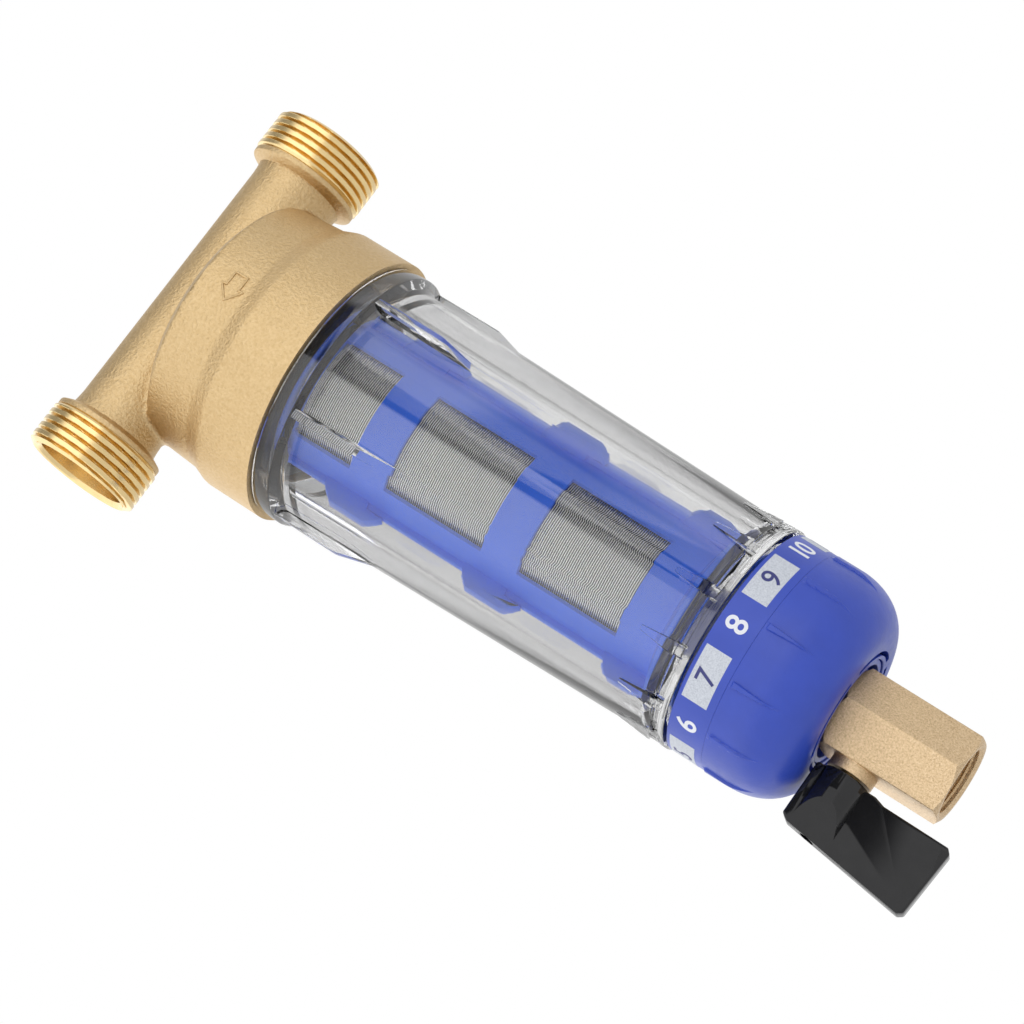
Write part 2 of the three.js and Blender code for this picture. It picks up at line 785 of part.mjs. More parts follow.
// ---------------------------------------------------------------- lever
function stem() {
  const s = STEM;
  const { x, land } = STEM_ORING;
  const screwHole = solid(rodX(s.screwHole, s.end - 1, s.end + s.screwDepth));
  const shaft = solid(alongX(turned([
    [0, s.end],
    [s.radius, s.end],
    [s.radius, x - land],
    [s.neck, x - land],
    [s.neck, x + land],
    [s.radius, x + land],
    [s.radius, s.tangEnd],
    [0, s.tangEnd],
  ], SMALL_SIDES)));
  const tang = box(s.tangEnd - 0.5, s.tangStart, -s.tang / 2, s.tang / 2, -s.tangHalf, s.tangHalf);
  return surface(cut(join(shaft, solid(tang)), screwHole)).translate(0, 0, VALVE.centre);
}

const stemORing = () => alongX(oRing(STEM_ORING.ring, STEM_ORING.section, STEM_ORING.x, 12))
  .translate(0, 0, VALVE.centre);

// Flat handle that hangs beside the valve and slopes outwards towards its tip.
const paddle = () => plateXZ([
  [LEVER.neckX, LEVER.top],
  [LEVER.outerTopX + 1.4, LEVER.top],
  [LEVER.outerTopX, LEVER.top - 2],
  [LEVER.outerBottomX, LEVER.bottom + 3],
  [LEVER.outerBottomX + 1, LEVER.bottom + 1.6],
  [LEVER.innerX - 2, LEVER.bottom],
  [LEVER.innerX - 0.8, LEVER.bottom + 0.8],
  [LEVER.innerX, LEVER.hubBottom - 1],
  [LEVER.neckX, LEVER.hubBottom + 1],
], LEVER.thickness);

// Round hub on the stem with a flat ramp on each side that runs out into the handle.
function leverHub() {
  const { neckX, rampStart, rampEnd, rampHalf, hubRadius } = LEVER;
  const plan = shapeOf([
    [neckX, -hubRadius],
    [neckX, hubRadius],
    [rampStart, hubRadius],
    [rampEnd, rampHalf],
    [rampEnd, -rampHalf],
    [rampStart, -hubRadius],
  ]);
  const depth = 2 * hubRadius;
  const block = new THREE.ExtrudeGeometry(plan, { depth, bevelEnabled: false });
  const barrel = solid(rodX(hubRadius, rampEnd - 1, neckX, PORT_SIDES));
  return solid(block.translate(0, 0, -hubRadius)).intersect(barrel).translate(0, 0, VALVE.centre);
}

function lever() {
  const l = LEVER;
  const alongStem = (radius, from, to) => solid(rodX(radius, from, to).translate(0, 0, VALVE.centre));
  return surface(cut(
    join(solid(paddle()), leverHub()),
    alongStem(l.screwWell, l.outerBottomX - 1, l.wellFloor),
    alongStem(LEVER_SCREW.shank + GAP, l.wellFloor - 1, STEM.end),
    alongStem(l.stemBore, STEM.end - GAP, l.neckX + 1),
  ));
}

function leverScrew() {
  const { head, headThick, shank, end } = LEVER_SCREW;
  const seat = LEVER.wellFloor - GAP;
  return alongX(turned([
    [0, seat - headThick],
    [head, seat - headThick],
    [head, seat],
    [shank, seat],
    [shank, end],
    [0, end],
  ], SMALL_SIDES)).translate(0, 0, VALVE.centre);
}

// ---------------------------------------------------------------- assembly
add('head_casting', headCasting(), 'castBrass');
add('bowl', bowl(), 'clear');
add('bowl_oring', oRing(BOWL_ORING.ring, BOWL_ORING.section, BOWL_ORING.z, SIDES), 'blackRubber');
add('cage_frame', cageFrame(), 'bluePlastic');
add('cage_top_seal', ring(TOP_SEAL.inner, TOP_SEAL.outer, TOP_SEAL.top, TOP_SEAL.bottom), 'blackRubber');
add('screen_sleeve', screenSleeve(), 'steelMesh');
add('foot_bush', ring(FOOT_BUSH.inner, FOOT_BUSH.outer, FOOT_BUSH.top, FOOT_BUSH.bottom), 'whitePlastic');

add('spindle', spindle(), 'bluePlastic');
add('siphon_tube', siphonTube(), 'whitePlastic');
add('siphon_top_pin', siphonPin(), 'whitePlastic');
NOZZLES.forEach((_, i) => add(`suction_nozzle_${i + 1}`, suctionNozzle(i), 'whitePlastic'));
SPINDLE.grooves.forEach((z, i) => {
  add(`shaft_oring_${i + 1}`, oRing(SHAFT_ORING.ring, SHAFT_ORING.section, z), 'blackRubber');
});
add('retaining_clip', retainingClip(), 'steel');
add('thrust_washer', ring(WASHER.inner, WASHER.outer, WASHER.top, WASHER.bottom), 'whitePlastic');
add('dial_ring', ring(DIAL.inner, DIAL.outer, DIAL.top, DIAL.bottom), 'bluePlastic');
add('knob', knob(), 'bluePlastic');
add('cap_cover', ring(COVER.inner, COVER.outer, COVER.top, COVER.bottom), 'bluePlastic');
add('knob_lock_ring', ring(LOCK_RING.inner, LOCK_RING.outer, LOCK_RING.top, LOCK_RING.bottom), 'bluePlastic');
add('valve_body', valveBody(), 'turnedBrass');
add('ball_seat_upper', ballSeat(1), 'whitePlastic');
add('ball_seat_lower', ballSeat(-1), 'whitePlastic');
add('seat_retainer', seatRetainer(), 'turnedBrass');

add('drain_ball', ball(), 'chrome');
add('valve_stem', stem(), 'turnedBrass');
add('stem_oring', stemORing(), 'blackRubber');
add('lever', lever(), 'blackPlastic');
add('lever_screw', leverScrew(), 'steel');

export default group;
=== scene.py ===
"""Looks of an inline water filter: cast brass T head, clear bowl, screen on a blue cage, month dial,
blue cap, hexagonal drain valve and black lever. Lengths in this script are millimetres unless a name
ends in _M; the scene itself is in metres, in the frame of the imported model."""
import json
import math

import bmesh
import bpy
import numpy as np
from mathutils import Matrix, Vector

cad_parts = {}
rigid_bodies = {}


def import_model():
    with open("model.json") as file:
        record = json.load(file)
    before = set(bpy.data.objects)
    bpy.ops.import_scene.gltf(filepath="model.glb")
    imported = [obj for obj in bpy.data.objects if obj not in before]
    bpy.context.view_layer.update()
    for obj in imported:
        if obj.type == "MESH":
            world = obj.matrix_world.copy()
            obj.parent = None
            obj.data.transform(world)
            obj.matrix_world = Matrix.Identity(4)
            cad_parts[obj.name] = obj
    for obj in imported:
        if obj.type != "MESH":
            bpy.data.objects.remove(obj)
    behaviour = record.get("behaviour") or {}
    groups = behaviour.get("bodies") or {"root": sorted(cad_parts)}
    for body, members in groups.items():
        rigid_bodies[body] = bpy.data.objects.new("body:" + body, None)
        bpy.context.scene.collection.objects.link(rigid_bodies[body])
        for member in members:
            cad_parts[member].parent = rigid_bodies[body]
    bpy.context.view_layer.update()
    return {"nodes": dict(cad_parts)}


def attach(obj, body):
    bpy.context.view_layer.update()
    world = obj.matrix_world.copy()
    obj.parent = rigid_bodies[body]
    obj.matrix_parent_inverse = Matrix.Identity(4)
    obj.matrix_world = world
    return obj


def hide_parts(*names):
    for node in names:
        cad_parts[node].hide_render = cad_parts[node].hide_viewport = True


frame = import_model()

MM = 0.001
TAU = 2 * math.pi
SCREEN_TOP, SCREEN_BOTTOM, WIRE_PITCH = -44.8, -161.0, 0.6


# ---------------------------------------------------------------- mesh helpers
def link(name, mesh, material, sharp=35):
    """New object from a mesh, smooth shaded with sharp edges above an angle."""
    piece = bpy.data.objects.new(name, mesh)
    bpy.context.scene.collection.objects.link(piece)
    mesh.shade_smooth()
    mesh.set_sharp_from_angle(angle=math.radians(sharp))
    mesh.materials.clear()
    mesh.materials.append(material)
    return piece


def mesh_of(name, points, faces):
    mesh = bpy.data.meshes.new(name)
    mesh.from_pydata([tuple(float(c) * MM for c in p) for p in points], [], faces)
    mesh.validate()
    work = bmesh.new()
    work.from_mesh(mesh)
    bmesh.ops.remove_doubles(work, verts=work.verts, dist=1e-7)
    bmesh.ops.recalc_face_normals(work, faces=work.faces)
    work.to_mesh(mesh)
    work.free()
    return mesh


SIDE_SHARE = 0.45  # share of the shorter side that a rounded corner may use


def rounded(points, radii, steps=4):
    """Closed or open [r, z] outline with its corners rounded; radii holds one radius per corner."""
    count = len(points)
    out = []
    for i, (point, radius) in enumerate(zip(points, radii)):
        p = np.array(point, float)
        if radius <= 0:
            out.append(tuple(p))
            continue
        a, b = np.array(points[i - 1], float), np.array(points[(i + 1) % count], float)
        u, v = (a - p) / np.linalg.norm(a - p), (b - p) / np.linalg.norm(b - p)
        angle = math.acos(max(-1, min(1, float(u @ v))))
        shorter = min(np.linalg.norm(a - p), np.linalg.norm(b - p))
        reach = min(radius / math.tan(angle / 2), SIDE_SHARE * shorter)
        start, end = p + u * reach, p + v * reach
        for k in range(steps + 1):
            t = k / steps
            out.append(tuple((1 - t) ** 2 * start + 2 * t * (1 - t) * p + t * t * end))
    return out


def grid_loop(rows, closed_rows=True):
    """Quads over rows of points that each run once round; the last row joins the first."""
    count, sides = len(rows), len(rows[0])
    points = [p for row in rows for p in row]
    faces = []
    last = count if closed_rows else count - 1
    for i in range(last):
        for j in range(sides):
            a, b = i * sides, ((i + 1) % count) * sides
            faces.append((a + j, a + (j + 1) % sides, b + (j + 1) % sides, b + j))
    return points, faces


def place(radius, angle, height, axis="Z"):
    """Point at an angle from -Y towards +X round Z, or the same round X with height along X."""
    x, y = radius * math.sin(angle), -radius * math.cos(angle)
    return (x, y, height) if axis == "Z" else (height, y, x)


ON_AXIS = 0.001  # a radius up to this stands for a point on the axis


def lathe_mesh(name, profile, sides=128, axis="Z", angles=None, bump=None):
    """Closed turned mesh from a closed [r, z] outline. bump(r, angle, z) may move a point's radius."""
    angles = [TAU * k / sides for k in range(sides)] if angles is None else angles
    rows = []
    for r, z in profile:
        rows.append([place(r if bump is None else bump(r, a, z), a, z, axis) for a in angles])
    points, faces = grid_loop(rows)
    mesh = mesh_of(name, points, faces)
    if min(r for r, z in profile) <= ON_AXIS:
        close_poles(mesh, "XYZ".index(axis))
    return mesh


def close_poles(mesh, along):
    """Welds each ring of points on the axis into one point, so that a turned mesh has no pinhole."""
    work = bmesh.new()
    work.from_mesh(mesh)
    across = [k for k in range(3) if k != along]
    near = [v for v in work.verts if math.hypot(*(v.co[k] for k in across)) < 2 * ON_AXIS * MM]
    bmesh.ops.remove_doubles(work, verts=near, dist=3 * ON_AXIS * MM)
    bmesh.ops.delete(work, geom=[e for e in work.edges if not e.link_faces], context="EDGES")
    work.to_mesh(mesh)
    work.free()


def lathe(name, profile, material, sides=128, axis="Z", sharp=35, **more):
    return link(name, lathe_mesh(name, profile, sides, axis, **more), material, sharp)


def prism_mesh(name, outline, thickness, bevel=0.0, steps=3):
    """[x, z] outline made solid along Y, centred on y = 0, its rims bevelled."""
    count = len(outline)
    points = [(x, -thickness / 2, z) for x, z in outline] + [(x, thickness / 2, z) for x, z in outline]
    faces = [tuple(range(count)), tuple(range(2 * count - 1, count - 1, -1))]
    for i in range(count):
        j = (i + 1) % count
        faces.append((i, i + count, j + count, j))
    mesh = mesh_of(name, points, faces)
    if bevel:
        work = bmesh.new()
        work.from_mesh(mesh)
        rims = [e for e in work.edges if abs(abs(e.verts[0].co.y) - thickness * MM / 2) < 1e-7
                and abs(e.verts[0].co.y - e.verts[1].co.y) < 1e-7]
        bmesh.ops.bevel(work, geom=rims, offset=bevel * MM, segments=steps, profile=0.5, affect="EDGES")
        work.to_mesh(mesh)
        work.free()
    return mesh


def turned_to(mesh, degrees):
    """Turns a mesh drawn towards +X round Z, to an angle from -Y towards +X."""
    mesh.transform(Matrix.Rotation(math.radians(degrees - 90), 4, "Z"))
    return mesh


def moved(mesh, x=0, z=0):
    mesh.transform(Matrix.Translation(Vector((x, 0, z)) * MM))
    return mesh


def upright_prism(name, outline, top, bottom):
    """[x, y] outline made solid along Z."""
    count = len(outline)
    points = [(x, y, top) for x, y in outline] + [(x, y, bottom) for x, y in outline]
    faces = [tuple(range(count)), tuple(range(2 * count - 1, count - 1, -1))]
    faces += [(i, (i + 1) % count, (i + 1) % count + count, i + count) for i in range(count)]
    return mesh_of(name, points, faces)


def arc_mesh(name, inner, outer, top, bottom, start, end, steps=24):
    """Piece of a tube between two angles in degrees."""
    angles = [math.radians(start + (end - start) * k / steps) for k in range(steps + 1)]
    corners = ((inner, bottom), (outer, bottom), (outer, top), (inner, top))
    rows = [[place(r, a, z) for r, z in corners] for a in angles]
    points = [p for row in rows for p in row]
    faces = [(3, 2, 1, 0), tuple(4 * steps + k for k in range(4))]
    for i in range(steps):
        for j in range(4):
            faces.append((4 * i + j, 4 * i + (j + 1) % 4, 4 * i + 4 + (j + 1) % 4, 4 * i + 4 + j))
    return mesh_of(name, points, faces)


def combined(mesh, others, operation="UNION"):
    """Exact boolean of a mesh with several others."""
    scene = bpy.context.scene
    base = bpy.data.objects.new("base", mesh)
    scene.collection.objects.link(base)
    group = bpy.data.collections.new("operands")
    scene.collection.children.link(group)
    for other in others:
        group.objects.link(bpy.data.objects.new("operand", other))
    modifier = base.modifiers.new("combine", "BOOLEAN")
    modifier.operand_type = "COLLECTION"
    modifier.collection = group
    modifier.operation = operation
    modifier.solver = "EXACT"
    modifier.use_self = True
    bpy.context.view_layer.update()
    made = bpy.data.meshes.new_from_object(base.evaluated_get(bpy.context.evaluated_depsgraph_get()))
    for thing in list(group.objects):
        bpy.data.objects.remove(thing)
    bpy.data.collections.remove(group)
    bpy.data.objects.remove(base)
    made.materials.clear()
    return made


def seat(piece, body, slot, *nodes):
    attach(piece, body)
    if nodes:
        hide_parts(*nodes)
    return piece


# ---------------------------------------------------------------- implicit surface for the casting
def smooth_min(a, b, k):
    h = np.clip(0.5 + 0.5 * (b - a) / k, 0, 1)
    return b + (a - b) * h - k * h * (1 - h)


def polygon_distance(r, z, outline):
    """Signed distance to a closed [r, z] outline, negative inside."""
    best = np.full(r.shape, 1e9)
    sign = np.ones(r.shape)
    count = len(outline)
    for i in range(count):
        ax, az = outline[i]
        bx, bz = outline[i - 1]
        ex, ez = bx - ax, bz - az
        wx, wz = r - ax, z - az
        t = np.clip((wx * ex + wz * ez) / (ex * ex + ez * ez), 0, 1)
        best = np.minimum(best, (wx - ex * t) ** 2 + (wz - ez * t) ** 2)
        above, below = z >= az, z < bz
        left = ex * wz > ez * wx
        flip = (above & below & left) | (~above & ~below & ~left)
        sign = np.where(flip, -sign, sign)
    return sign * np.sqrt(best)


PROBE = 0.05  # half the distance over which the slope of a signed distance is measured


def net_mesh(name, distance, low, high, step, settle=4):
    """Quad mesh of the zero surface of a signed distance, its points moved onto the surface."""
    axes = [np.arange(a, b + step, step) for a, b in zip(low, high)]
    grid = np.meshgrid(*axes, indexing="ij")
    d = distance(*grid)
    inside = d < 0
    shape = np.array(d.shape) - 1
    total = np.zeros(shape)
    sums = [np.zeros(shape) for _ in range(3)]
    corners = [(i, j, k) for i in (0, 1) for j in (0, 1) for k in (0, 1)]
    cut = lambda field, c: field[c[0]:c[0] + shape[0], c[1]:c[1] + shape[1], c[2]:c[2] + shape[2]]
    for c in corners:
        for axis in range(3):
            if c[axis]:
                continue
            other = tuple(c[n] + (n == axis) for n in range(3))
            d0, d1 = cut(d, c), cut(d, other)
            crosses = (d0 < 0) != (d1 < 0)
            t = np.where(crosses, d0 / np.where(crosses, d0 - d1, 1), 0)
            total += crosses
            for n in range(3):
                sums[n] += np.where(crosses, c[n] + (t if n == axis else 0), 0)
    used = total > 0
    index = -np.ones(shape, int)
    index[used] = np.arange(used.sum())
    where = np.argwhere(used)
    local = np.stack([s[used] / total[used] for s in sums], 1)
    points = (where + local) * step + np.array(low, float)
    faces = []
    for axis in range(3):
        first = [slice(None)] * 3
        second = [slice(None)] * 3
        first[axis], second[axis] = slice(0, -1), slice(1, None)
        a, b = inside[tuple(first)], inside[tuple(second)]
        u, v = (axis + 1) % 3, (axis + 2) % 3
        for edge in np.argwhere(a != b):
            if min(edge[u], edge[v]) < 1 or edge[u] > shape[u] - 1 or edge[v] > shape[v] - 1:
                continue
            cells = []
            for du, dv in ((-1, -1), (0, -1), (0, 0), (-1, 0)):
                cell = edge.copy()
                cell[u] += du
                cell[v] += dv
                cells.append(int(index[tuple(cell)]))
            faces.append(tuple(cells if a[tuple(edge)] else cells[::-1]))
    for _ in range(settle):
        base = distance(*points.T)
        rises = [distance(*(points + nudge).T) - distance(*(points - nudge).T) for nudge in PROBE * np.eye(3)]
        slope = np.stack(rises, 1) / (2 * PROBE)
        length = np.maximum((slope ** 2).sum(1), 1e-6)
        move = -base[:, None] * slope / length[:, None]
        reach = np.linalg.norm(move, axis=1, keepdims=True)
        points = points + move * np.minimum(1, 0.5 * step / np.maximum(reach, 1e-9))
    return mesh_of(name, points, faces)


# ---------------------------------------------------------------- materials
class Surface:
    """One procedural material: a Principled shader with a small set of node builders."""

    def __init__(self, name):
        self.material = bpy.data.materials.new(name)
        self.material.use_nodes = True
        self.nodes = self.material.node_tree.nodes
        self.links = self.material.node_tree.links
        self.shader = self.nodes["Principled BSDF"]
        self.where = self.nodes.new("ShaderNodeTexCoord").outputs["Object"]
        self.height = None

    def set(self, **values):
        for key, value in values.items():
            socket = self.shader.inputs[key.replace("_", " ")]
            socket.default_value = (*value, 1) if isinstance(value, tuple) else value
        return self

    def noise(self, size, detail=2.0, rough=0.5, stretch=None):
        """Noise whose grain is about this many millimetres."""
        node = self.nodes.new("ShaderNodeTexNoise")
        node.inputs["Scale"].default_value = 1 / (size * MM)
        node.inputs["Detail"].default_value = detail
        node.inputs["Roughness"].default_value = rough
        source = self.where
        if stretch:
            mapping = self.nodes.new("ShaderNodeMapping")
            mapping.inputs["Scale"].default_value = stretch
            self.links.new(source, mapping.inputs["Vector"])
            source = mapping.outputs["Vector"]
        self.links.new(source, node.inputs["Vector"])
        return node.outputs["Fac"]

    def axis(self, name):
        node = self.nodes.new("ShaderNodeSeparateXYZ")
        self.links.new(self.where, node.inputs["Vector"])
        return node.outputs[name]

    def math(self, operation, first, second=None):
        node = self.nodes.new("ShaderNodeMath")
        node.operation = operation
        self.links.new(first, node.inputs[0])
        if second is not None:
            node.inputs[1].default_value = second
        return node.outputs["Value"]

    def ramp(self, value, stops):
        node = self.nodes.new("ShaderNodeValToRGB")
        ramp = node.color_ramp
        while len(ramp.elements) < len(stops):
            ramp.elements.new(0.5)
        for element, (at, colour) in zip(ramp.elements, stops):
            element.position = at
            element.color = (*colour, 1) if isinstance(colour, tuple) else (colour, colour, colour, 1)
        self.links.new(value, node.inputs["Fac"])
        return node.outputs["Color"]

    def bump(self, value, depth, strength=1.0):
        """Adds relief of about this depth in millimetres."""
        node = self.nodes.new("ShaderNodeBump")
        node.inputs["Strength"].default_value = strength
        node.inputs["Distance"].default_value = depth * MM
        self.links.new(value, node.inputs["Height"])
        if self.height is not None:
            self.links.new(self.height, node.inputs["Normal"])
        self.height = node.outputs["Normal"]
        return self

    def feed(self, socket, value):
        self.links.new(value, self.shader.inputs[socket])
        return self

    def done(self):
        if self.height is not None:
            self.links.new(self.height, self.shader.inputs["Normal"])
        return self.material


def cast_brass():
    s = Surface("cast_brass").set(Metallic=1.0)
    grain = s.noise(0.8, 3, 0.6)
    s.feed("Base Color", s.ramp(grain, [(0.3, (0.58, 0.41, 0.205)), (0.7, (0.68, 0.505, 0.28))]))
    s.feed("Roughness", s.ramp(s.noise(9, 3, 0.6), [(0.3, 0.40), (0.7, 0.48)]))
    s.bump(grain, 0.34)
    s.bump(s.noise(0.35, 2, 0.6), 0.05)
    return s.done()


def turned_brass(name="turned_brass", colour=(0.87, 0.66, 0.33), rough=0.2):
    s = Surface(name).set(Metallic=1.0)
    darker = tuple(c * 0.9 for c in colour)
    s.feed("Base Color", s.ramp(s.noise(5, 4, 0.6), [(0.35, darker), (0.65, colour)]))
    s.feed("Roughness", s.ramp(s.noise(1.2, 3, 0.6), [(0.3, rough), (0.7, rough + 0.08)]))
    s.bump(s.noise(0.5, 2, 0.6, stretch=(3.0, 0.4, 0.4)), 0.004)
    return s.done()


def forged_brass():
    s = Surface("forged_brass").set(Metallic=1.0)
    grain = s.noise(0.5, 4, 0.75)
    dark, middle, bright = (0.46, 0.325, 0.18), (0.68, 0.50, 0.30), (0.82, 0.63, 0.41)
    s.feed("Base Color", s.ramp(grain, [(0.3, dark), (0.5, middle), (0.7, bright)]))
    s.feed("Roughness", s.ramp(s.noise(1.1, 3, 0.6), [(0.3, 0.28), (0.7, 0.42)]))
    s.bump(grain, 0.20)
    return s.done()


def clear_plastic():
    s = Surface("clear_plastic").set(Base_Color=(0.985, 0.987, 0.99), Roughness=0.0, IOR=1.45)
    s.set(Transmission_Weight=1.0, Coat_Weight=1.0, Coat_IOR=1.6, Coat_Roughness=0.0)
    s.bump(s.noise(9, 2, 0.5), 0.006)
    return s.done()


def plastic(name, colour, rough, grain=0.03, vary=0.06, gloss=0.5):
    s = Surface(name).set(IOR=1.5, Specular_IOR_Level=gloss)
    tone = s.noise(11, 3, 0.55)
    low, high = tuple(c * (1 - vary) for c in colour), tuple(min(1, c * (1 + vary)) for c in colour)
    s.feed("Base Color", s.ramp(tone, [(0.3, low), (0.7, high)]))
    s.feed("Roughness", s.ramp(s.noise(2.5, 3, 0.6), [(0.3, rough - 0.03), (0.7, rough + 0.05)]))
    s.bump(s.noise(0.7, 2, 0.6), grain)
    return s.done()


def printed_white():
    s = Surface("print_white").set(Roughness=0.55)
    worn, middle, fresh = (0.43, 0.46, 0.52), (0.55, 0.58, 0.64), (0.60, 0.63, 0.68)
    s.feed("Base Color", s.ramp(s.noise(0.4, 3, 0.7), [(0.36, worn), (0.55, middle), (0.7, fresh)]))
    s.bump(s.noise(0.5, 2, 0.6), 0.02)
    return s.done()


def steel_mesh():
    """Bright wires with painted shade, near black, in the gaps between them, in step with the wires that are
    modelled.
    """
    s = Surface("steel_mesh").set(Metallic=0.9)
    # gap is painted shade: a near-black colour laid in the valleys between the wires
    gap, wire = (0.006, 0.006, 0.006), (0.76, 0.75, 0.72)
    down = s.math("SUBTRACT", s.axis("Z"), SCREEN_TOP * MM)
    across = s.math("FRACT", s.math("DIVIDE", down, WIRE_PITCH * MM))
    s.feed("Base Color", s.ramp(across, [(0.20, gap), (0.32, wire), (0.68, wire), (0.80, gap)]))
    s.feed("Roughness", s.ramp(s.noise(0.8, 2, 0.6), [(0.3, 0.22), (0.7, 0.34)]))
    s.bump(s.noise(0.35, 1, 0.5), 0.008)
    return s.done()


def rubber():
    s = Surface("seal_rubber")
    dark, light = (0.010, 0.010, 0.012), (0.03, 0.03, 0.034)
    s.feed("Base Color", s.ramp(s.noise(4, 3, 0.6), [(0.3, dark), (0.7, light)]))
    s.feed("Roughness", s.ramp(s.noise(1, 3, 0.6), [(0.3, 0.5), (0.7, 0.7)]))
    s.bump(s.noise(0.6, 2, 0.6), 0.02)
    return s.done()


def black_plastic():
    """Moulded handle: dull black under a polished skin with faint scuffs."""
    s = Surface("black_plastic").set(Specular_IOR_Level=0.02)
    s.set(Coat_Weight=1.0, Coat_IOR=1.5, Coat_Roughness=0.0)
    dark, light = (0.004, 0.004, 0.005), (0.009, 0.009, 0.010)
    s.feed("Base Color", s.ramp(s.noise(6, 4, 0.6), [(0.3, dark), (0.75, light)]))
    s.feed("Roughness", s.ramp(s.noise(1.8, 4, 0.7), [(0.3, 0.3), (0.75, 0.5)]))
    s.bump(s.noise(2.5, 3, 0.6), 0.012)
    return s.done()


def bright_metal(name, colour, rough):
    s = Surface(name).set(Metallic=1.0)
    s.feed("Base Color", s.ramp(s.noise(3, 3, 0.6), [(0.3, tuple(c * 0.92 for c in colour)), (0.7, colour)]))
    s.feed("Roughness", s.ramp(s.noise(1, 3, 0.6), [(0.3, rough), (0.7, rough + 0.08)]))
    s.bump(s.noise(0.8, 2, 0.5), 0.006)
    return s.done()


CAST = cast_brass()
TURNED = turned_brass()
COPPERY = turned_brass("drain_brass", (0.66, 0.42, 0.24), 0.24)
FORGED = forged_brass()
CLEAR = clear_plastic()
BLUE = plastic("blue_plastic", (0.026, 0.062, 0.42), 0.34)
# the cage's own royal blue with painted light: far brighter than the cap's blue, to make up for the light
# that the clear bowl keeps off the cage
CAGE_BLUE_WITH_PAINTED_LIGHT = plastic("cage_blue_with_painted_light", (0.040, 0.180, 1.0), 0.4, 0.012, 0.03, 0.2)
WHITE = plastic("white_plastic", (0.74, 0.74, 0.71), 0.4)
PRINT_WHITE = printed_white()
DIGIT_WHITE = plastic("digit_white", (0.70, 0.72, 0.77), 0.45, 0.01)
DIGIT_BLUE = plastic("digit_blue", (0.030, 0.035, 0.17), 0.45, 0.01)
MESH = steel_mesh()
RUBBER = rubber()
BLACK = black_plastic()
CHROME = bright_metal("ball_chrome", (0.80, 0.81, 0.84), 0.08)
STEEL = bright_metal("clip_steel", (0.60, 0.61, 0.64), 0.22)

# ---------------------------------------------------------------- head
PORT_HALF, PORT_START, THREAD_START = 57.06, 42.0, 44.4
CREST, ROOT, PITCH, COLLAR = 16.62, 15.15, 2.309, 16.2
PIPE_RADIUS, PIPE_BORE, PORT_BORE = 12.7, 9.6, 13.1
DRUM_OUTLINE = [(0, -2), (22, -3.6), (33, -7.2), (36.3, -9.4), (37.3, -24), (39.1, -28.8),
                (39.1, -47.6), (0, -47.6)]
DRUM_ROUND = 0.5  # rounding of the drum's edges
PIPE_BLEND = 1.5  # how softly the pipe runs into the drum
BRASS_EDGE = -45.5
FACE_RADIUS = 15.0  # outside of the thread where it meets the port's face


def casting_distance(x, y, z):
    r = np.hypot(x, y)
    inset = [(a - DRUM_ROUND if a else 0, b - DRUM_ROUND if i < 4 else b)
             for i, (a, b) in enumerate(DRUM_OUTLINE)]
    drum = polygon_distance(r, z, inset) - DRUM_ROUND
    flare = 0.42 * np.clip((np.abs(x) - 37) / 5, 0, 1) ** 2
    pipe = np.hypot(y, z) - (PIPE_RADIUS + flare)
    pipe = np.maximum(pipe, np.abs(x) - PORT_START - 0.6)
    return smooth_min(drum, pipe, PIPE_BLEND)


def head_mesh():
    low, high = (-44.5, -41.1, -49.1), (44.5, 41.1, 15.5)
    body = net_mesh("casting", casting_distance, low, high, 0.85)
    chamber = lathe_mesh("chamber", [(ON_AXIS, -16), (27.6, -16), (33.6, -22), (35.9, -22),
                                     (35.9, BRASS_EDGE + 0.5), (36.4, BRASS_EDGE), (60, BRASS_EDGE),
                                     (60, -60), (ON_AXIS, -60)], 144)
    outlet_tube = lathe_mesh("tube", [(15.5, -37.6), (21, -37.6), (21, -15), (15.5, -15)], 96)
    bores = []
    for side in (-1, 1):
        start, end = side * 9.5, side * 50
        bore = [(ON_AXIS, start), (PIPE_BORE, start), (PIPE_BORE, end), (ON_AXIS, end)]
        bores.append(lathe_mesh("bore", bore, 64, "X"))
    rise = lathe_mesh("rise", [(ON_AXIS, -4), (15.5, -4), (15.5, -17), (ON_AXIS, -17)], 96)
    inlet = moved(lathe_mesh("inlet", [(ON_AXIS, 0), (5.6, 0), (5.6, -17), (ON_AXIS, -17)], 48), x=27)
    cut = combined(body, [chamber, *bores, rise, inlet], "DIFFERENCE")
    return combined(cut, [outlet_tube])


def thread_radius(x, angle, side):
    """Broad crests and narrow roots along a helix, faded in at the collar and chamfered at the face."""
    turn = ((x - THREAD_START) / PITCH - side * angle / TAU) % 1
    wave = min(1, min(turn, 1 - turn) / 0.24)
    wave = wave * wave * (3 - 2 * wave)
    radius = ROOT + (CREST - ROOT) * wave
    fade = min(1, max(0, (x - THREAD_START - 0.2) / 0.9))
    radius = COLLAR - 0.35 + (radius - COLLAR + 0.35) * fade
    return min(radius, FACE_RADIUS + (PORT_HALF - x) * 1.5)


def port_mesh(name, side):
    sides = 144
    angles = [TAU * k / sides for k in range(sides)]
    rows = []
    count = 100
    for i in range(count + 1):
        x = THREAD_START + (PORT_HALF - THREAD_START) * i / count
        rows.append([place(thread_radius(x, a, side), a, side * x, "X") for a in angles])
    step = PIPE_BORE + 0.02
    inner = rounded([(14.25, PORT_HALF), (PORT_BORE, PORT_HALF - 1.2), (PORT_BORE, PORT_START),
                     (step, PORT_START), (step, PORT_START - 1.0), (11.4, PORT_START - 1.0),
                     (11.4, THREAD_START)], [0.15, 0.2, 0.3, 0.4, 0, 0, 0], 3)
    for r, x in inner:
        rows.append([place(r, a, side * x, "X") for a in angles])
    points, faces = grid_loop(rows)
    return mesh_of(name, points, faces)


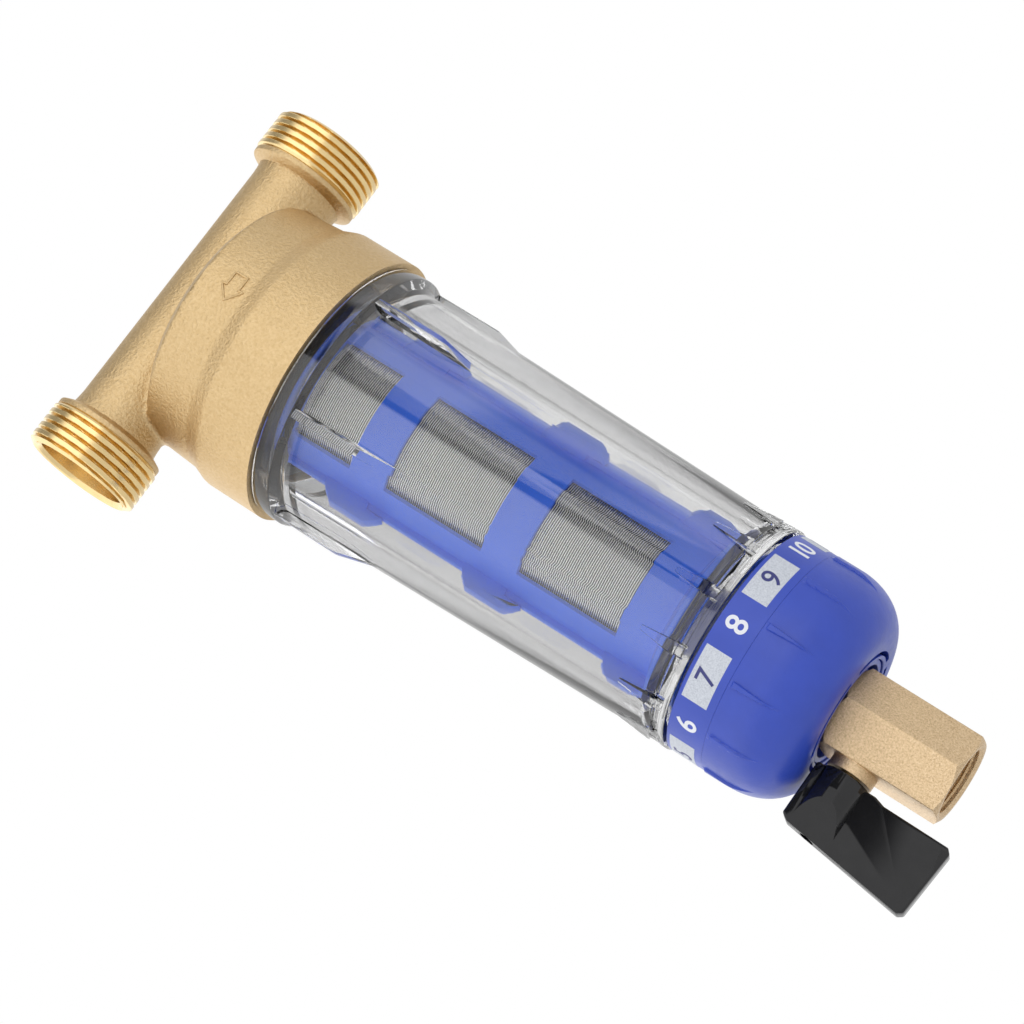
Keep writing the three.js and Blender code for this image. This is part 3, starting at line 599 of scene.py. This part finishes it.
def collar_profile():
    return rounded([(12.6, 41.2), (13.2, 41.9), (14.6, 42.4), (COLLAR, 43.2), (COLLAR, 44.55),
                    (COLLAR - 0.4, 44.7), (13.3, 44.7), (11.6, 43)], [0, 0.6, 0.8, 0.5, 0.2, 0, 0, 0], 4)


def arrow_pieces():
    """Raised outline of a block arrow on the drum, pointing to the outlet."""
    tip, barb, shaft_end = -6.2, 0.0, 6.4
    outline = [(tip, -19.3), (barb, -15.9), (barb, -17.3), (shaft_end, -17.3), (shaft_end, -21.3),
               (barb, -21.3), (barb, -22.7)]
    path = []
    for (a0, z0), (a1, z1) in zip(outline, outline[1:] + outline[:1]):
        for k in range(6):
            t = k / 6
            path.append((a0 + (a1 - a0) * t, z0 + (z1 - z0) * t))
    curve = bpy.data.curves.new("arrow", "CURVE")
    curve.dimensions = "3D"
    spline = curve.splines.new("POLY")
    spline.points.add(len(path) - 1)
    spline.use_cyclic_u = True
    for point, (a, z) in zip(spline.points, path):
        radius = 36.3 + (-z - 9.4) / 14.6  # the drum's side, as in DRUM_OUTLINE
        point.co = (*[c * MM for c in place(radius - 0.02, math.radians(a), z)], 1)
    curve.bevel_depth = 0.36 * MM
    curve.bevel_resolution = 3
    holder = bpy.data.objects.new("arrow_curve", curve)
    bpy.context.scene.collection.objects.link(holder)
    bpy.context.view_layer.update()
    mesh = bpy.data.meshes.new_from_object(holder.evaluated_get(bpy.context.evaluated_depsgraph_get()))
    bpy.data.objects.remove(holder)
    return mesh


seat(link("head_body", head_mesh(), CAST, 40), "housing", "cast_brass", "head_casting")
for side, port in ((1, "inlet"), (-1, "outlet")):
    profile = [(r, side * x) for r, x in collar_profile()]
    seat(lathe(f"collar_{port}", profile, CAST, 128, "X", 50), "housing", "cast_brass", "head_casting")
    thread = link(f"thread_{port}", port_mesh(f"thread_{port}", side), TURNED, 50)
    seat(thread, "housing", "turned_brass", "head_casting")
seat(link("flow_arrow", arrow_pieces(), CAST, 60), "housing", "cast_brass", "head_casting")

# ---------------------------------------------------------------- bowl
WALL_TOP, WALL_BOTTOM = (34.5, -54.1), (31.7, -168.5)


def bowl_radius(z):
    t = (z - WALL_TOP[1]) / (WALL_BOTTOM[1] - WALL_TOP[1])
    return WALL_TOP[0] + (WALL_BOTTOM[0] - WALL_TOP[0]) * t


def bowl_mesh():
    outline = [
        (32.6, -23.0), (32.6, -27.0), (35.5, -28.0), (35.5, -45.8), (37.6, -45.8), (37.6, -51.4),
        (35.2, -52.6), WALL_TOP, WALL_BOTTOM, (30.4, -168.6), (30.4, -170.9), (32.3, -171.0),
        (32.3, -172.8), (15.0, -172.8), (15.0, -188.0), (10.15, -188.0), (10.15, -166.3),
        (25.2, -166.3), (27.2, -164.3), (28.0, -23.0),
    ]
    radii = [0.3, 0.3, 0.3, 0.2, 0.3, 0.5, 0.5, 0.8, 0.2, 0.2, 0.2, 0.3, 0.4, 0, 0, 0, 0.5, 1.5, 0, 0.3]
    body = lathe_mesh("bowl", rounded(outline, radii, 3), 144)
    extras = []
    for k in range(6):
        rib = prism_mesh("rib", [(31.4, -49), (37.0, -49), (37.0, -71.4), (36.8, -72.4),
                                 (bowl_radius(-83.5) - 0.05, -83.5), (31.4, -84.5)], 2.5, 0.25, 2)
        extras.append(turned_to(rib, 30 + 60 * k))
    for k in range(12):
        half_tip, half_foot = 0.65, 1.8
        points = []
        for side in (-1, 1):
            points += [(30.0, side * half_tip, -158.0), (32.35, side * half_tip, -158.0),
                       (33.0, side * half_foot, -168.6), (30.0, side * half_foot, -168.6)]
        faces = [(0, 1, 2, 3), (7, 6, 5, 4), (0, 4, 5, 1), (1, 5, 6, 2), (2, 6, 7, 3), (3, 7, 4, 0)]
        extras.append(turned_to(mesh_of("gusset", points, faces), 30 * k))
        lug = [(29.6, -168.3), (32.4, -168.3), (32.4, -171.2), (29.6, -171.2)]
        extras.append(turned_to(prism_mesh("lug", lug, 3.2, 0.15, 1), 30 * k))
    return combined(body, extras)


seat(link("bowl_shell", bowl_mesh(), CLEAR, 30), "housing", "clear_plastic", "bowl")

# ---------------------------------------------------------------- cage and screen
CAGE_IN, CAGE_OUT, FIN_ROOT, RIDGE, FIN_OUT = 21.0, 22.2, 21.6, 23.6, 26.7
STRIP_CENTRE, STRIP_HALF = 43.5, 22.5  # degrees
BANDS = [(-66.2, -77.3), (-108.0, -119.3), (-149.7, -161.2)]


def cage_mesh():
    collar = [(12.9, -32), (15.1, -32), (15.1, -38.2), (26.6, -38.2), (26.6, -42.5), (22.2, -42.5),
              (22.2, -44.4), (12.9, -44.4)]
    collar = lathe_mesh("collar", rounded(collar, [0.3, 0.3, 0.2, 0.4, 0.4, 0.2, 0, 0]), 120)
    parts = []
    for top, bottom in BANDS:
        band = [(CAGE_IN, top), (CAGE_OUT, top), (CAGE_OUT, bottom), (CAGE_IN, bottom)]
        parts.append(lathe_mesh("band", rounded(band, [0, 0.25, 0.25, 0], 2), 120))
    foot = [(CAGE_IN, -160.6), (22.0, -160.6), (25.8, -162.6), (25.8, -164.9), (CAGE_IN, -164.9)]
    parts.append(lathe_mesh("foot", rounded(foot, [0, 0, 0.4, 0.4, 0], 3), 120))
    for k in range(3):
        centre = STRIP_CENTRE + 120 * k
        start, end = centre - STRIP_HALF, centre + STRIP_HALF
        parts.append(arc_mesh("strip", CAGE_IN - 0.003, CAGE_OUT + 0.004, -42.2, -161.6, start, end))
        ridge = [(FIN_ROOT, -42.0), (RIDGE, -42.0), (RIDGE, -161.7), (FIN_ROOT, -161.7)]
        parts.append(turned_to(prism_mesh("ridge", ridge, 2.0, 0.2, 2), centre))
        arm = [(4.4, -38.3), (14.1, -38.3), (14.1, -41), (4.4, -41)]
        parts.append(turned_to(prism_mesh("arm", arm, 2.0), centre))
        for i in range(3):
            top = -60.7 - 43.8 * i
            head = [(FIN_ROOT, top + 0.9), (RIDGE, top), (RIDGE + 1.1, top - 1.0), (FIN_OUT, top - 4.2)]
            if i < 2:
                end = top - 16.2
                tail = [(FIN_OUT, end + 1.4), (FIN_OUT - 0.5, end + 0.1), (FIN_OUT - 1.6, end - 1.6),
                        (FIN_OUT - 2.5, end - 2.5), (FIN_OUT - 2.9, end - 2.3), (FIN_OUT - 2.7, end - 0.6),
                        (FIN_OUT - 2.9, end + 1.2), (RIDGE + 0.2, end + 2.6), (FIN_ROOT, end + 3.4)]
            else:
                tail = [(FIN_OUT, -158.8), (25.8, -162.7), (FIN_ROOT, -162.7)]
            parts.append(turned_to(prism_mesh("fin", head + tail, 3.4, 0.35, 2), centre))
    parts.append(lathe_mesh("hub", [(3.1, -42.7), (5.2, -42.7), (5.2, -38.2), (3.1, -38.2)], 48))
    return combined(collar, parts)


def screen_mesh():
    """Thin sleeve of round wires that run round it."""
    outer = []
    count = int((SCREEN_TOP - SCREEN_BOTTOM) / WIRE_PITCH)
    for i in range(count):
        z = SCREEN_TOP - (i + 0.5) * WIRE_PITCH
        outer += [(20.40, z + 0.3), (20.62, z + 0.2), (20.74, z), (20.62, z - 0.2)]
    profile = outer + [(20.3, SCREEN_TOP - count * WIRE_PITCH), (20.25, SCREEN_TOP)]
    return lathe_mesh("screen", profile, 90)


seat(link("cage", cage_mesh(), CAGE_BLUE_WITH_PAINTED_LIGHT, 35), "housing", "blue_plastic", "cage_frame")
seat(link("screen", screen_mesh(), MESH, 80), "housing", "steel_mesh", "screen_sleeve")


def ring_profile(inner, outer, top, bottom, radii=(0.4, 0.4, 0.4, 0.4)):
    """Outline of a flat ring; its corners run from inner top to outer top, outer bottom, inner bottom."""
    return rounded([(inner, top), (outer, top), (outer, bottom), (inner, bottom)], radii)


seat(lathe("top_seal", ring_profile(23.9, 27.3, -42.8, -44.9), RUBBER),
     "housing", "seal_rubber", "cage_top_seal")


def torus_profile(radius, section, z):
    turns = [TAU * k / 16 for k in range(16)]
    return [(radius + section * math.cos(t), z + section * math.sin(t)) for t in turns]


seat(lathe("bowl_seal", torus_profile(34.3, 1.1, -24.3), RUBBER, sharp=80),
     "housing", "seal_rubber", "bowl_oring")
seat(lathe("foot_bearing", ring_profile(13.6, 19.6, -162.6, -166.0), WHITE, 96),
     "housing", "white_plastic", "foot_bush")

# ---------------------------------------------------------------- turned inner pieces
VALVE_Z = -216.3  # height of the lever's and ball's axis
PIN_EDGE = 0.05  # inner radius of solid pins, hidden inside other pieces
seat(lathe("spindle_body", [
    (5.5, -157.4), (9.3, -157.4), (9.6, -157.8), (9.6, -174.6), (7.4, -174.6), (7.4, -177.4), (9.6, -177.4),
    (9.6, -180.6), (7.4, -180.6), (7.4, -183.4), (9.6, -183.4), (9.6, -190.6), (12.0, -190.6), (12.0, -204.6),
    (8.3, -204.6), (8.3, -193.0), (4.6, -193.0), (4.6, -172.0), (5.5, -172.0)], BLUE, 64),
    "rotor", "blue_plastic", "spindle")
pin = rounded([(PIN_EDGE, -46.7), (4.9, -46.7), (4.9, -43.9), (2.8, -43.9), (2.8, -37.4), (PIN_EDGE, -37.4)],
              [0, 0.3, 0.3, 0.2, 0.4, 0])
seat(lathe("pin", pin, WHITE, 48), "rotor", "white_plastic", "siphon_top_pin")
for i, z in enumerate((-176.0, -182.0), 1):
    seal = lathe(f"shaft_seal_{i}", torus_profile(8.75, 1.0, z), RUBBER, 64, sharp=80)
    seat(seal, "rotor", "seal_rubber", f"shaft_oring_{i}")
seat(lathe("slide_washer", ring_profile(9.9, 14.6, -188.3, -190.3, [0.3] * 4), WHITE, 64),
     "rotor", "white_plastic", "thrust_washer")
stem_seal = lathe("stem_seal", torus_profile(2.6, 0.5, -11.6), RUBBER, 40, "X", 80)
seat(stem_seal, "handle", "seal_rubber", "stem_oring")
moved(stem_seal.data, z=VALVE_Z)
for side, node in ((1, "ball_seat_upper"), (-1, "ball_seat_lower")):
    outline = [(5.6, 9.0), (8.8, 9.0), (8.8, 4.7), (7.6, 4.7), (5.6, 6.4)]
    ring = lathe(node + "_ring", [(r, VALVE_Z + side * z) for r, z in outline], WHITE, 64)
    seat(ring, "rotor", "white_plastic", node)
seat(lathe("retainer_ring", ring_profile(6.2, 8.8, -225.8, -230.4, [0.2, 0.3, 0.3, 0.6]), COPPERY, 64),
     "rotor", "turned_brass", "seat_retainer")

# ---------------------------------------------------------------- cap
KNOB_TOP, GRIP, GRIP_TOP, CORNER_Z = -173.4, 31.9, -184.2, -191.0
RIB_TOP, RIB_END, GRIP_HEIGHT = -184.9, -199.2, 0.62


def cap_outline():
    points = [(29.8, KNOB_TOP), (29.8, GRIP_TOP - 0.05), (GRIP - 0.1, GRIP_TOP), (GRIP, GRIP_TOP - 0.1)]
    points += [(GRIP, z) for z in np.linspace(GRIP_TOP - 0.8, CORNER_Z + 0.4, 16)]
    for k in range(29):
        a = math.pi / 2 * k / 28
        points.append((GRIP - 12.5 * (1 - math.cos(a)), CORNER_Z - 16.0 * math.sin(a)))
    inside = [(18.6, -207.0), (15.4, -207.0), (15.4, -203.2), (12.4, -203.2), (12.4, -192.6), (16.4, -192.6),
              (16.4, -198.6), (21.0, -198.6), (26.8, -191.0), (26.8, KNOB_TOP)]
    return points + rounded(inside, [0, 0.3, 0, 0, 0, 0, 0, 0, 0, 0], 3)


def cap_angles():
    """Fine steps near each grip rib and coarse ones between."""
    angles = []
    for k in range(12):
        fine = [30 * k + d for d in np.linspace(-3.2, 3.2, 25)]
        coarse = [30 * k + d for d in np.linspace(3.2, 26.8, 14)[1:-1]]
        angles += fine + coarse
    return [math.radians(a) for a in angles]


def grip_relief(r, angle, z):
    """Raised bar that tapers to a point, twelve times round the cap."""
    if r < 20 or z > GRIP_TOP or z < -203:
        return r
    nearest = (math.degrees(angle) + 15) % 30 - 15
    across = abs(math.radians(nearest) * GRIP)
    start = min(1, max(0, (RIB_TOP - z) / 0.4))
    left = min(1, max(0, (z - RIB_END) / (RIB_TOP - RIB_END)))
    side = min(1, max(0, (0.15 + 0.85 * left - across) / 0.24))
    return r + GRIP_HEIGHT * min(1, 2.5 * left) * start * side * side * (3 - 2 * side)


def cap_mesh():
    """Turned cap with a ring groove round the valve, left standing at four bridges."""
    body = lathe_mesh("cap", cap_outline(), angles=cap_angles(), bump=grip_relief)
    grooves = [arc_mesh("groove", 16.5, 17.9, -204.4, -208.0, 90 * k + 20, 90 * k + 98) for k in range(4)]
    return combined(body, grooves, "DIFFERENCE")


seat(link("cap", cap_mesh(), BLUE, 30), "rotor", "blue_plastic", "knob")
seat(lathe("cap_floor", ring_profile(15.6, 26.5, -173.5, -175.5, [0.3] * 4), BLUE),
     "rotor", "blue_plastic", "cap_cover")
seat(lathe("cap_lock_ring", ring_profile(13.6, 15.1, -203.5, -206.6, [0, 0, 0.3, 0.3]), BLUE, 96),
     "rotor", "blue_plastic", "knob_lock_ring")

# ---------------------------------------------------------------- dial
DIAL_R, DIAL_TOP, DIAL_BOTTOM = 31.78, -173.5, -184.15
SECTOR = 27.5  # degrees for each month
FIRST_CENTRE = -6.7 - 7 * SECTOR  # centre of month 1, months run towards +X
BOX_TOP, BOX_BOTTOM, DIGIT_Z = -174.6, -182.0, -178.2


def digit_mesh(text, height, weight):
    """Number drawn flat in X and Z, sliced upright so that it bends smoothly."""
    curve = bpy.data.curves.new("digits", "FONT")
    curve.body = text
    curve.size = height / 0.73 * MM
    curve.align_x = "CENTER"
    curve.offset = weight * MM
    curve.extrude = 0.12 * MM
    curve.resolution_u = 5
    curve.space_character = 0.9
    holder = bpy.data.objects.new("digits", curve)
    bpy.context.scene.collection.objects.link(holder)
    bpy.context.view_layer.update()
    mesh = bpy.data.meshes.new_from_object(holder.evaluated_get(bpy.context.evaluated_depsgraph_get()))
    bpy.data.objects.remove(holder)
    work = bmesh.new()
    work.from_mesh(mesh)
    for x in np.arange(-5, 5.01, 0.5):
        everything = list(work.verts) + list(work.edges) + list(work.faces)
        bmesh.ops.bisect_plane(work, geom=everything, plane_co=(x * MM, 0, 0), plane_no=(1, 0, 0), dist=1e-8)
    bmesh.ops.remove_doubles(work, verts=work.verts, dist=1e-7)
    work.to_mesh(mesh)
    work.free()
    return mesh


def wrap(mesh, radius, degrees, z):
    """Wraps a flat drawing (X across, Y up, Z out) round Z."""
    for v in mesh.vertices:
        across, up, out = v.co.x / MM, v.co.y / MM, v.co.z / MM
        angle = math.radians(degrees) + across / radius
        v.co = Vector(place(radius + out, angle, z + up)) * MM
    work = bmesh.new()
    work.from_mesh(mesh)
    bmesh.ops.recalc_face_normals(work, faces=work.faces)
    work.to_mesh(mesh)
    work.free()
    return mesh


dial = ring_profile(30.1, DIAL_R, DIAL_TOP, DIAL_BOTTOM, [0, 0.3, 0, 0])
seat(lathe("dial", dial, BLUE, 180), "rotor", "dial_print", "dial_ring")
for month in range(1, 13):
    centre = FIRST_CENTRE + SECTOR * (month - 1)
    boxed = month % 2 == 1
    if boxed:
        start, end = centre - SECTOR / 2, centre + SECTOR / 2
        box = arc_mesh("box", DIAL_R - 0.1, DIAL_R + 0.03, BOX_TOP, BOX_BOTTOM, start, end, 20)
        seat(link(f"dial_field_{month}", box, PRINT_WHITE), "rotor", "dial_print", "dial_ring")
    height, weight, ink = (5.6, 0.06, DIGIT_BLUE) if boxed else (6.0, 0.11, DIGIT_WHITE)
    digits = wrap(digit_mesh(str(month), height, weight), DIAL_R - 0.04, centre, DIGIT_Z - height / 2)
    seat(link(f"dial_number_{month}", digits, ink), "rotor", "dial_print", "dial_ring")

# ---------------------------------------------------------------- drain valve
ACROSS, VALVE_TOP, VALVE_BOTTOM = 22.6, -205.2, -240.2


def valve_mesh():
    corner = ACROSS / math.sqrt(3)
    corners = [(corner * math.sin(TAU * k / 6), -corner * math.cos(TAU * k / 6)) for k in range(6)]
    hexagon = upright_prism("hexagon", rounded(corners, [0.55] * 6, 3), VALVE_TOP, VALVE_BOTTOM)
    flat = ACROSS / 2
    cone = [(ON_AXIS, VALVE_TOP), (flat - 0.3, VALVE_TOP), (corner + 0.2, VALVE_TOP - 2.2),
            (corner + 0.2, VALVE_BOTTOM + 1.3), (flat - 0.1, VALVE_BOTTOM), (ON_AXIS, VALVE_BOTTOM)]
    cone = lathe_mesh("cone", rounded(cone, [0, 0.6, 0, 0, 0.3, 0]), 128)
    body = combined(hexagon, [cone], "INTERSECT")
    boss = rounded([(ON_AXIS, -14.3), (6.4, -14.3), (6.4, -8.0), (ON_AXIS, -8.0)], [0, 0.4, 0, 0])
    boss = moved(lathe_mesh("boss", boss, 64, "X"), z=VALVE_Z)
    spigot = lathe_mesh("spigot", [(ON_AXIS, -193.4), (8.0, -193.4), (8.0, -206.0), (ON_AXIS, -206.0)], 64)
    body = combined(body, [boss, spigot])
    thread = [(ON_AXIS, -207.0), (9.2, -207.0)]
    z = -230.6
    while z > VALVE_BOTTOM + 1.6:
        thread += [(9.2, z), (8.75, z - 0.45), (9.25, z - 0.9)]
        z -= 1.0
    thread += [(9.2, VALVE_BOTTOM + 0.8), (10.3, VALVE_BOTTOM - 0.05), (ON_AXIS, VALVE_BOTTOM - 0.05)]
    cavity = lathe_mesh("cavity", thread, 96)
    throat = lathe_mesh("throat", [(ON_AXIS, -192), (5.0, -192), (5.0, -208), (ON_AXIS, -208)], 48)
    stem_hole = lathe_mesh("stem_hole", [(ON_AXIS, -15), (3.3, -15), (3.3, -6), (ON_AXIS, -6)], 48, "X")
    moved(stem_hole, z=VALVE_Z)
    return combined(body, [cavity, throat, stem_hole], "DIFFERENCE")


seat(link("valve", valve_mesh(), FORGED, 28), "rotor", "forged_brass", "valve_body")

# ---------------------------------------------------------------- lever
def lever_mesh():
    outline = [(-15.1, -207.9), (-30.8, -207.9), (-32.1, -209.8), (-36.8, -245.2), (-35.8, -246.6),
               (-17.4, -248.0), (-16.1, -246.8), (-16.0, -228.0), (-15.1, -225.0)]
    outline = rounded(outline, [0.9, 0.8, 0.9, 0.9, 0.9, 0.9, 0.8, 1.5, 1.5], 4)
    paddle = prism_mesh("paddle", outline, 5.0, 0.55, 3)
    hub = rounded([(ON_AXIS, -14.8), (6.6, -14.8), (6.6, -31.6), (ON_AXIS, -31.6)], [0, 0.6, 0, 0])
    hub = moved(lathe_mesh("hub", hub, 64, "X"), z=VALVE_Z)
    wedge = [(-14.0, -8), (-14.0, 8), (-22.6, 8), (-22.6, 6.7), (-30.6, 2.2), (-30.6, -2.2), (-22.6, -6.7),
             (-22.6, -8)]
    hub = combined(hub, [upright_prism("wedge", wedge, -205, -228)], "INTERSECT")
    cuts = []
    for r, a, b in ((2.1, -40, -27.0), (1.4, -28, -24.0), (3.3, -24.3, -13)):
        hole = lathe_mesh("hole", [(ON_AXIS, a), (r, a), (r, b), (ON_AXIS, b)], 48, "X")
        cuts.append(moved(hole, z=VALVE_Z))
    return combined(combined(paddle, [hub]), cuts, "DIFFERENCE")


seat(link("drain_lever", lever_mesh(), BLACK, 32), "handle", "black_plastic", "lever")
screw = [(PIN_EDGE, -29.1), (1.8, -29.1), (1.8, -27.3), (1.1, -27.3), (1.1, -19.0), (PIN_EDGE, -19.0)]
screw = rounded(screw, [0, 0.6, 0.1, 0, 0.3, 0])
screw = lathe("handle_screw", screw, STEEL, 48, "X")
moved(screw.data, z=VALVE_Z)
seat(screw, "handle", "clip_steel", "lever_screw")

# ---------------------------------------------------------------- CAD nodes that stay
KEPT = {"siphon_tube": WHITE, "retaining_clip": STEEL, "drain_ball": CHROME, "valve_stem": TURNED,
        **{f"suction_nozzle_{i}": WHITE for i in range(1, 7)}}
for node, material in KEPT.items():
    piece = frame["nodes"][node]
    if piece.data.materials:
        piece.data.materials[0] = material
    else:
        piece.data.materials.append(material)

# ---------------------------------------------------------------- camera
EYE_M = Vector((-0.1834, -0.7857, -0.3702))
RIGHT, UP = Vector((0.5779, 0.1393, -0.8041)), Vector((0.7878, -0.3525, 0.5051))
camera_data = bpy.data.cameras.new("camera")
camera_data.lens = 115.05
camera_data.sensor_width = 36
camera_data.clip_end = 20
camera = bpy.data.objects.new("camera", camera_data)
bpy.context.scene.collection.objects.link(camera)
back = RIGHT.cross(UP).normalized()
up = back.cross(RIGHT).normalized()
turn = Matrix((RIGHT.normalized(), up, back)).transposed().to_4x4()
camera.matrix_world = Matrix.Translation(EYE_M) @ turn
bpy.context.scene.camera = camera

# ---------------------------------------------------------------- floor, lights, world
def floor():
    side, height = 6000, -600
    corners = [(x * side, y * side, height) for x, y in ((-1, -1), (1, -1), (1, 1), (-1, 1))]
    mesh = mesh_of("floor", corners, [(0, 1, 2, 3)])
    s = Surface("floor")
    s.feed("Base Color", s.ramp(s.noise(400, 2, 0.5), [(0.3, (0.80, 0.80, 0.80)), (0.7, (0.84, 0.84, 0.84))]))
    s.set(Roughness=0.8)
    piece = link("floor", mesh, s.done())


class WorldNodes:
    """Light tent drawn on the world by direction: azimuth from -Y towards +X, and height."""

    def __init__(self):
        self.world = bpy.data.worlds.new("world")
        bpy.context.scene.world = self.world
        self.world.use_nodes = True
        self.nodes, self.links = self.world.node_tree.nodes, self.world.node_tree.links
        self.nodes.clear()

    def math(self, operation, first, second=None):
        node = self.nodes.new("ShaderNodeMath")
        node.operation = operation
        for slot, value in zip(node.inputs, (first, second)):
            if isinstance(value, (int, float)):
                slot.default_value = value
            elif value is not None:
                self.links.new(value, slot)
        return node.outputs["Value"]

    def step(self, value, start, end, low, high):
        node = self.nodes.new("ShaderNodeMapRange")
        node.interpolation_type = "SMOOTHSTEP"
        self.links.new(value, node.inputs["Value"])
        for slot, number in zip(("From Min", "From Max", "To Min", "To Max"), (start, end, low, high)):
            node.inputs[slot].default_value = number
        return node.outputs["Result"]

    def grey(self, strength):
        node = self.nodes.new("ShaderNodeBackground")
        node.inputs["Color"].default_value = (1, 1, 1, 1)
        if isinstance(strength, (int, float)):
            node.inputs["Strength"].default_value = strength
        else:
            self.links.new(strength, node.inputs["Strength"])
        return node.outputs["Background"]

    def pick(self, factor, first, second):
        node = self.nodes.new("ShaderNodeMixShader")
        self.links.new(factor, node.inputs["Fac"])
        self.links.new(first, node.inputs[1])
        self.links.new(second, node.inputs[2])
        return node.outputs["Shader"]


def window(w, value, rise, fall):
    """1 between two soft edges and 0 outside them; each edge is a (start, end) pair."""
    return w.math("MULTIPLY", w.step(value, *rise, 0, 1), w.step(value, *fall, 1, 0))


# strengths of the tent's walls, its bright front, its notch as seen inside plastic, and its two ends
LEFT_WALL, RIGHT_WALL, FRONT, NOTCH, ENDS = 1.38, 0.86, 0.58, 1.15, 0.36
# strengths of the softboxes, the dark gap, the back of the room, and the light behind the plastic
BOX, DARK, BEHIND, THROUGH_PLASTIC = 1.0, 0.07, 0.60, 0.48
# soft edges in degrees, a rise and a fall each: azimuths first, then heights
FRONT_SPAN, NOTCH_SPAN, WALL_TURN = ((-18, 8), (20, 46)), ((-8, 6), (30, 60)), (-40, 70)
LENS_SPAN, GAP_SPAN, FACING = ((6, 9), (50, 60)), ((-2, 0), (52, 64)), ((-88, -62), (62, 88))
WALL_HEIGHT, GAP_HEIGHT, LENS_FOOT = ((-35, -12), (52, 72)), ((2, 8), (50, 70)), (10.5, 12.5)
LENS_SLANT, LENS_EDGE = 6.1, -74.5  # slanting edge of the right light: azimuth less slant times height


def world():
    """White backdrop, even light behind the clear plastic, sharp softboxes with a dark gap between
    them for mirror-like reflections, and a soft tent for all rough and matt surfaces."""
    w = WorldNodes()
    parts = w.nodes.new("ShaderNodeSeparateXYZ")
    w.links.new(w.nodes.new("ShaderNodeTexCoord").outputs["Generated"], parts.inputs["Vector"])
    x, y, z = (parts.outputs[n] for n in "XYZ")
    azimuth = w.math("MULTIPLY", w.math("ARCTAN2", x, w.math("MULTIPLY", y, -1)), 360 / TAU)
    height = w.math("MULTIPLY", w.math("ARCSINE", z), 360 / TAU)
    path = w.nodes.new("ShaderNodeLightPath")
    inner = path.outputs["Is Transmission Ray"]

    bounces = w.math("ADD", path.outputs["Diffuse Depth"], path.outputs["Glossy Depth"])
    unbounced = w.math("LESS_THAN", bounces, 0.5)
    front = window(w, azimuth, *FRONT_SPAN)
    notch = window(w, azimuth, *NOTCH_SPAN)
    walls = w.step(azimuth, *WALL_TURN, LEFT_WALL - ENDS, RIGHT_WALL - ENDS)
    walls = w.math("ADD", walls, w.math("MULTIPLY", front, FRONT))
    walls = w.math("SUBTRACT", walls, w.math("MULTIPLY", w.math("MULTIPLY", notch, inner), NOTCH))
    tent = w.math("ADD", w.math("MULTIPLY", walls, window(w, height, *WALL_HEIGHT)), ENDS)

    slant = w.math("SUBTRACT", azimuth, w.math("MULTIPLY", height, LENS_SLANT))
    past_slant = w.step(slant, LENS_EDGE - 2, LENS_EDGE + 2, 0, 1)
    lens = w.math("MULTIPLY", window(w, azimuth, *LENS_SPAN), past_slant)
    lens = w.math("MULTIPLY", lens, w.step(height, *LENS_FOOT, 0, 1))
    gap = w.math("MULTIPLY", window(w, azimuth, *GAP_SPAN), window(w, height, *GAP_HEIGHT))
    gap = w.math("MULTIPLY", gap, w.math("SUBTRACT", 1, lens))
    mirrored = w.math("SUBTRACT", BOX, w.math("MULTIPLY", gap, BOX - DARK))
    behind = w.math("SUBTRACT", 1, window(w, azimuth, *FACING))
    mirrored = w.math("SUBTRACT", mirrored, w.math("MULTIPLY", behind, BOX - BEHIND))

    straight = w.math("MULTIPLY", inner, unbounced)
    mirror = w.math("MULTIPLY", path.outputs["Is Singular Ray"], path.outputs["Is Reflection Ray"])
    shallow = w.math("MULTIPLY", inner, w.math("LESS_THAN", path.outputs["Transmission Depth"], 2.5))
    in_wall = w.math("MULTIPLY", shallow, w.math("SUBTRACT", 1, unbounced))
    light = w.pick(w.math("MAXIMUM", mirror, in_wall), w.grey(tent), w.grey(mirrored))
    light = w.pick(straight, light, w.grey(THROUGH_PLASTIC))
    seen = w.pick(path.outputs["Is Camera Ray"], light, w.grey(1.0))
    out = w.nodes.new("ShaderNodeOutputWorld")
    w.links.new(seen, out.inputs["Surface"])


floor()
world()
bpy.context.scene.view_settings.view_transform = "Standard"

# ---------------------------------------------------------------- final update
bpy.context.view_layer.update()
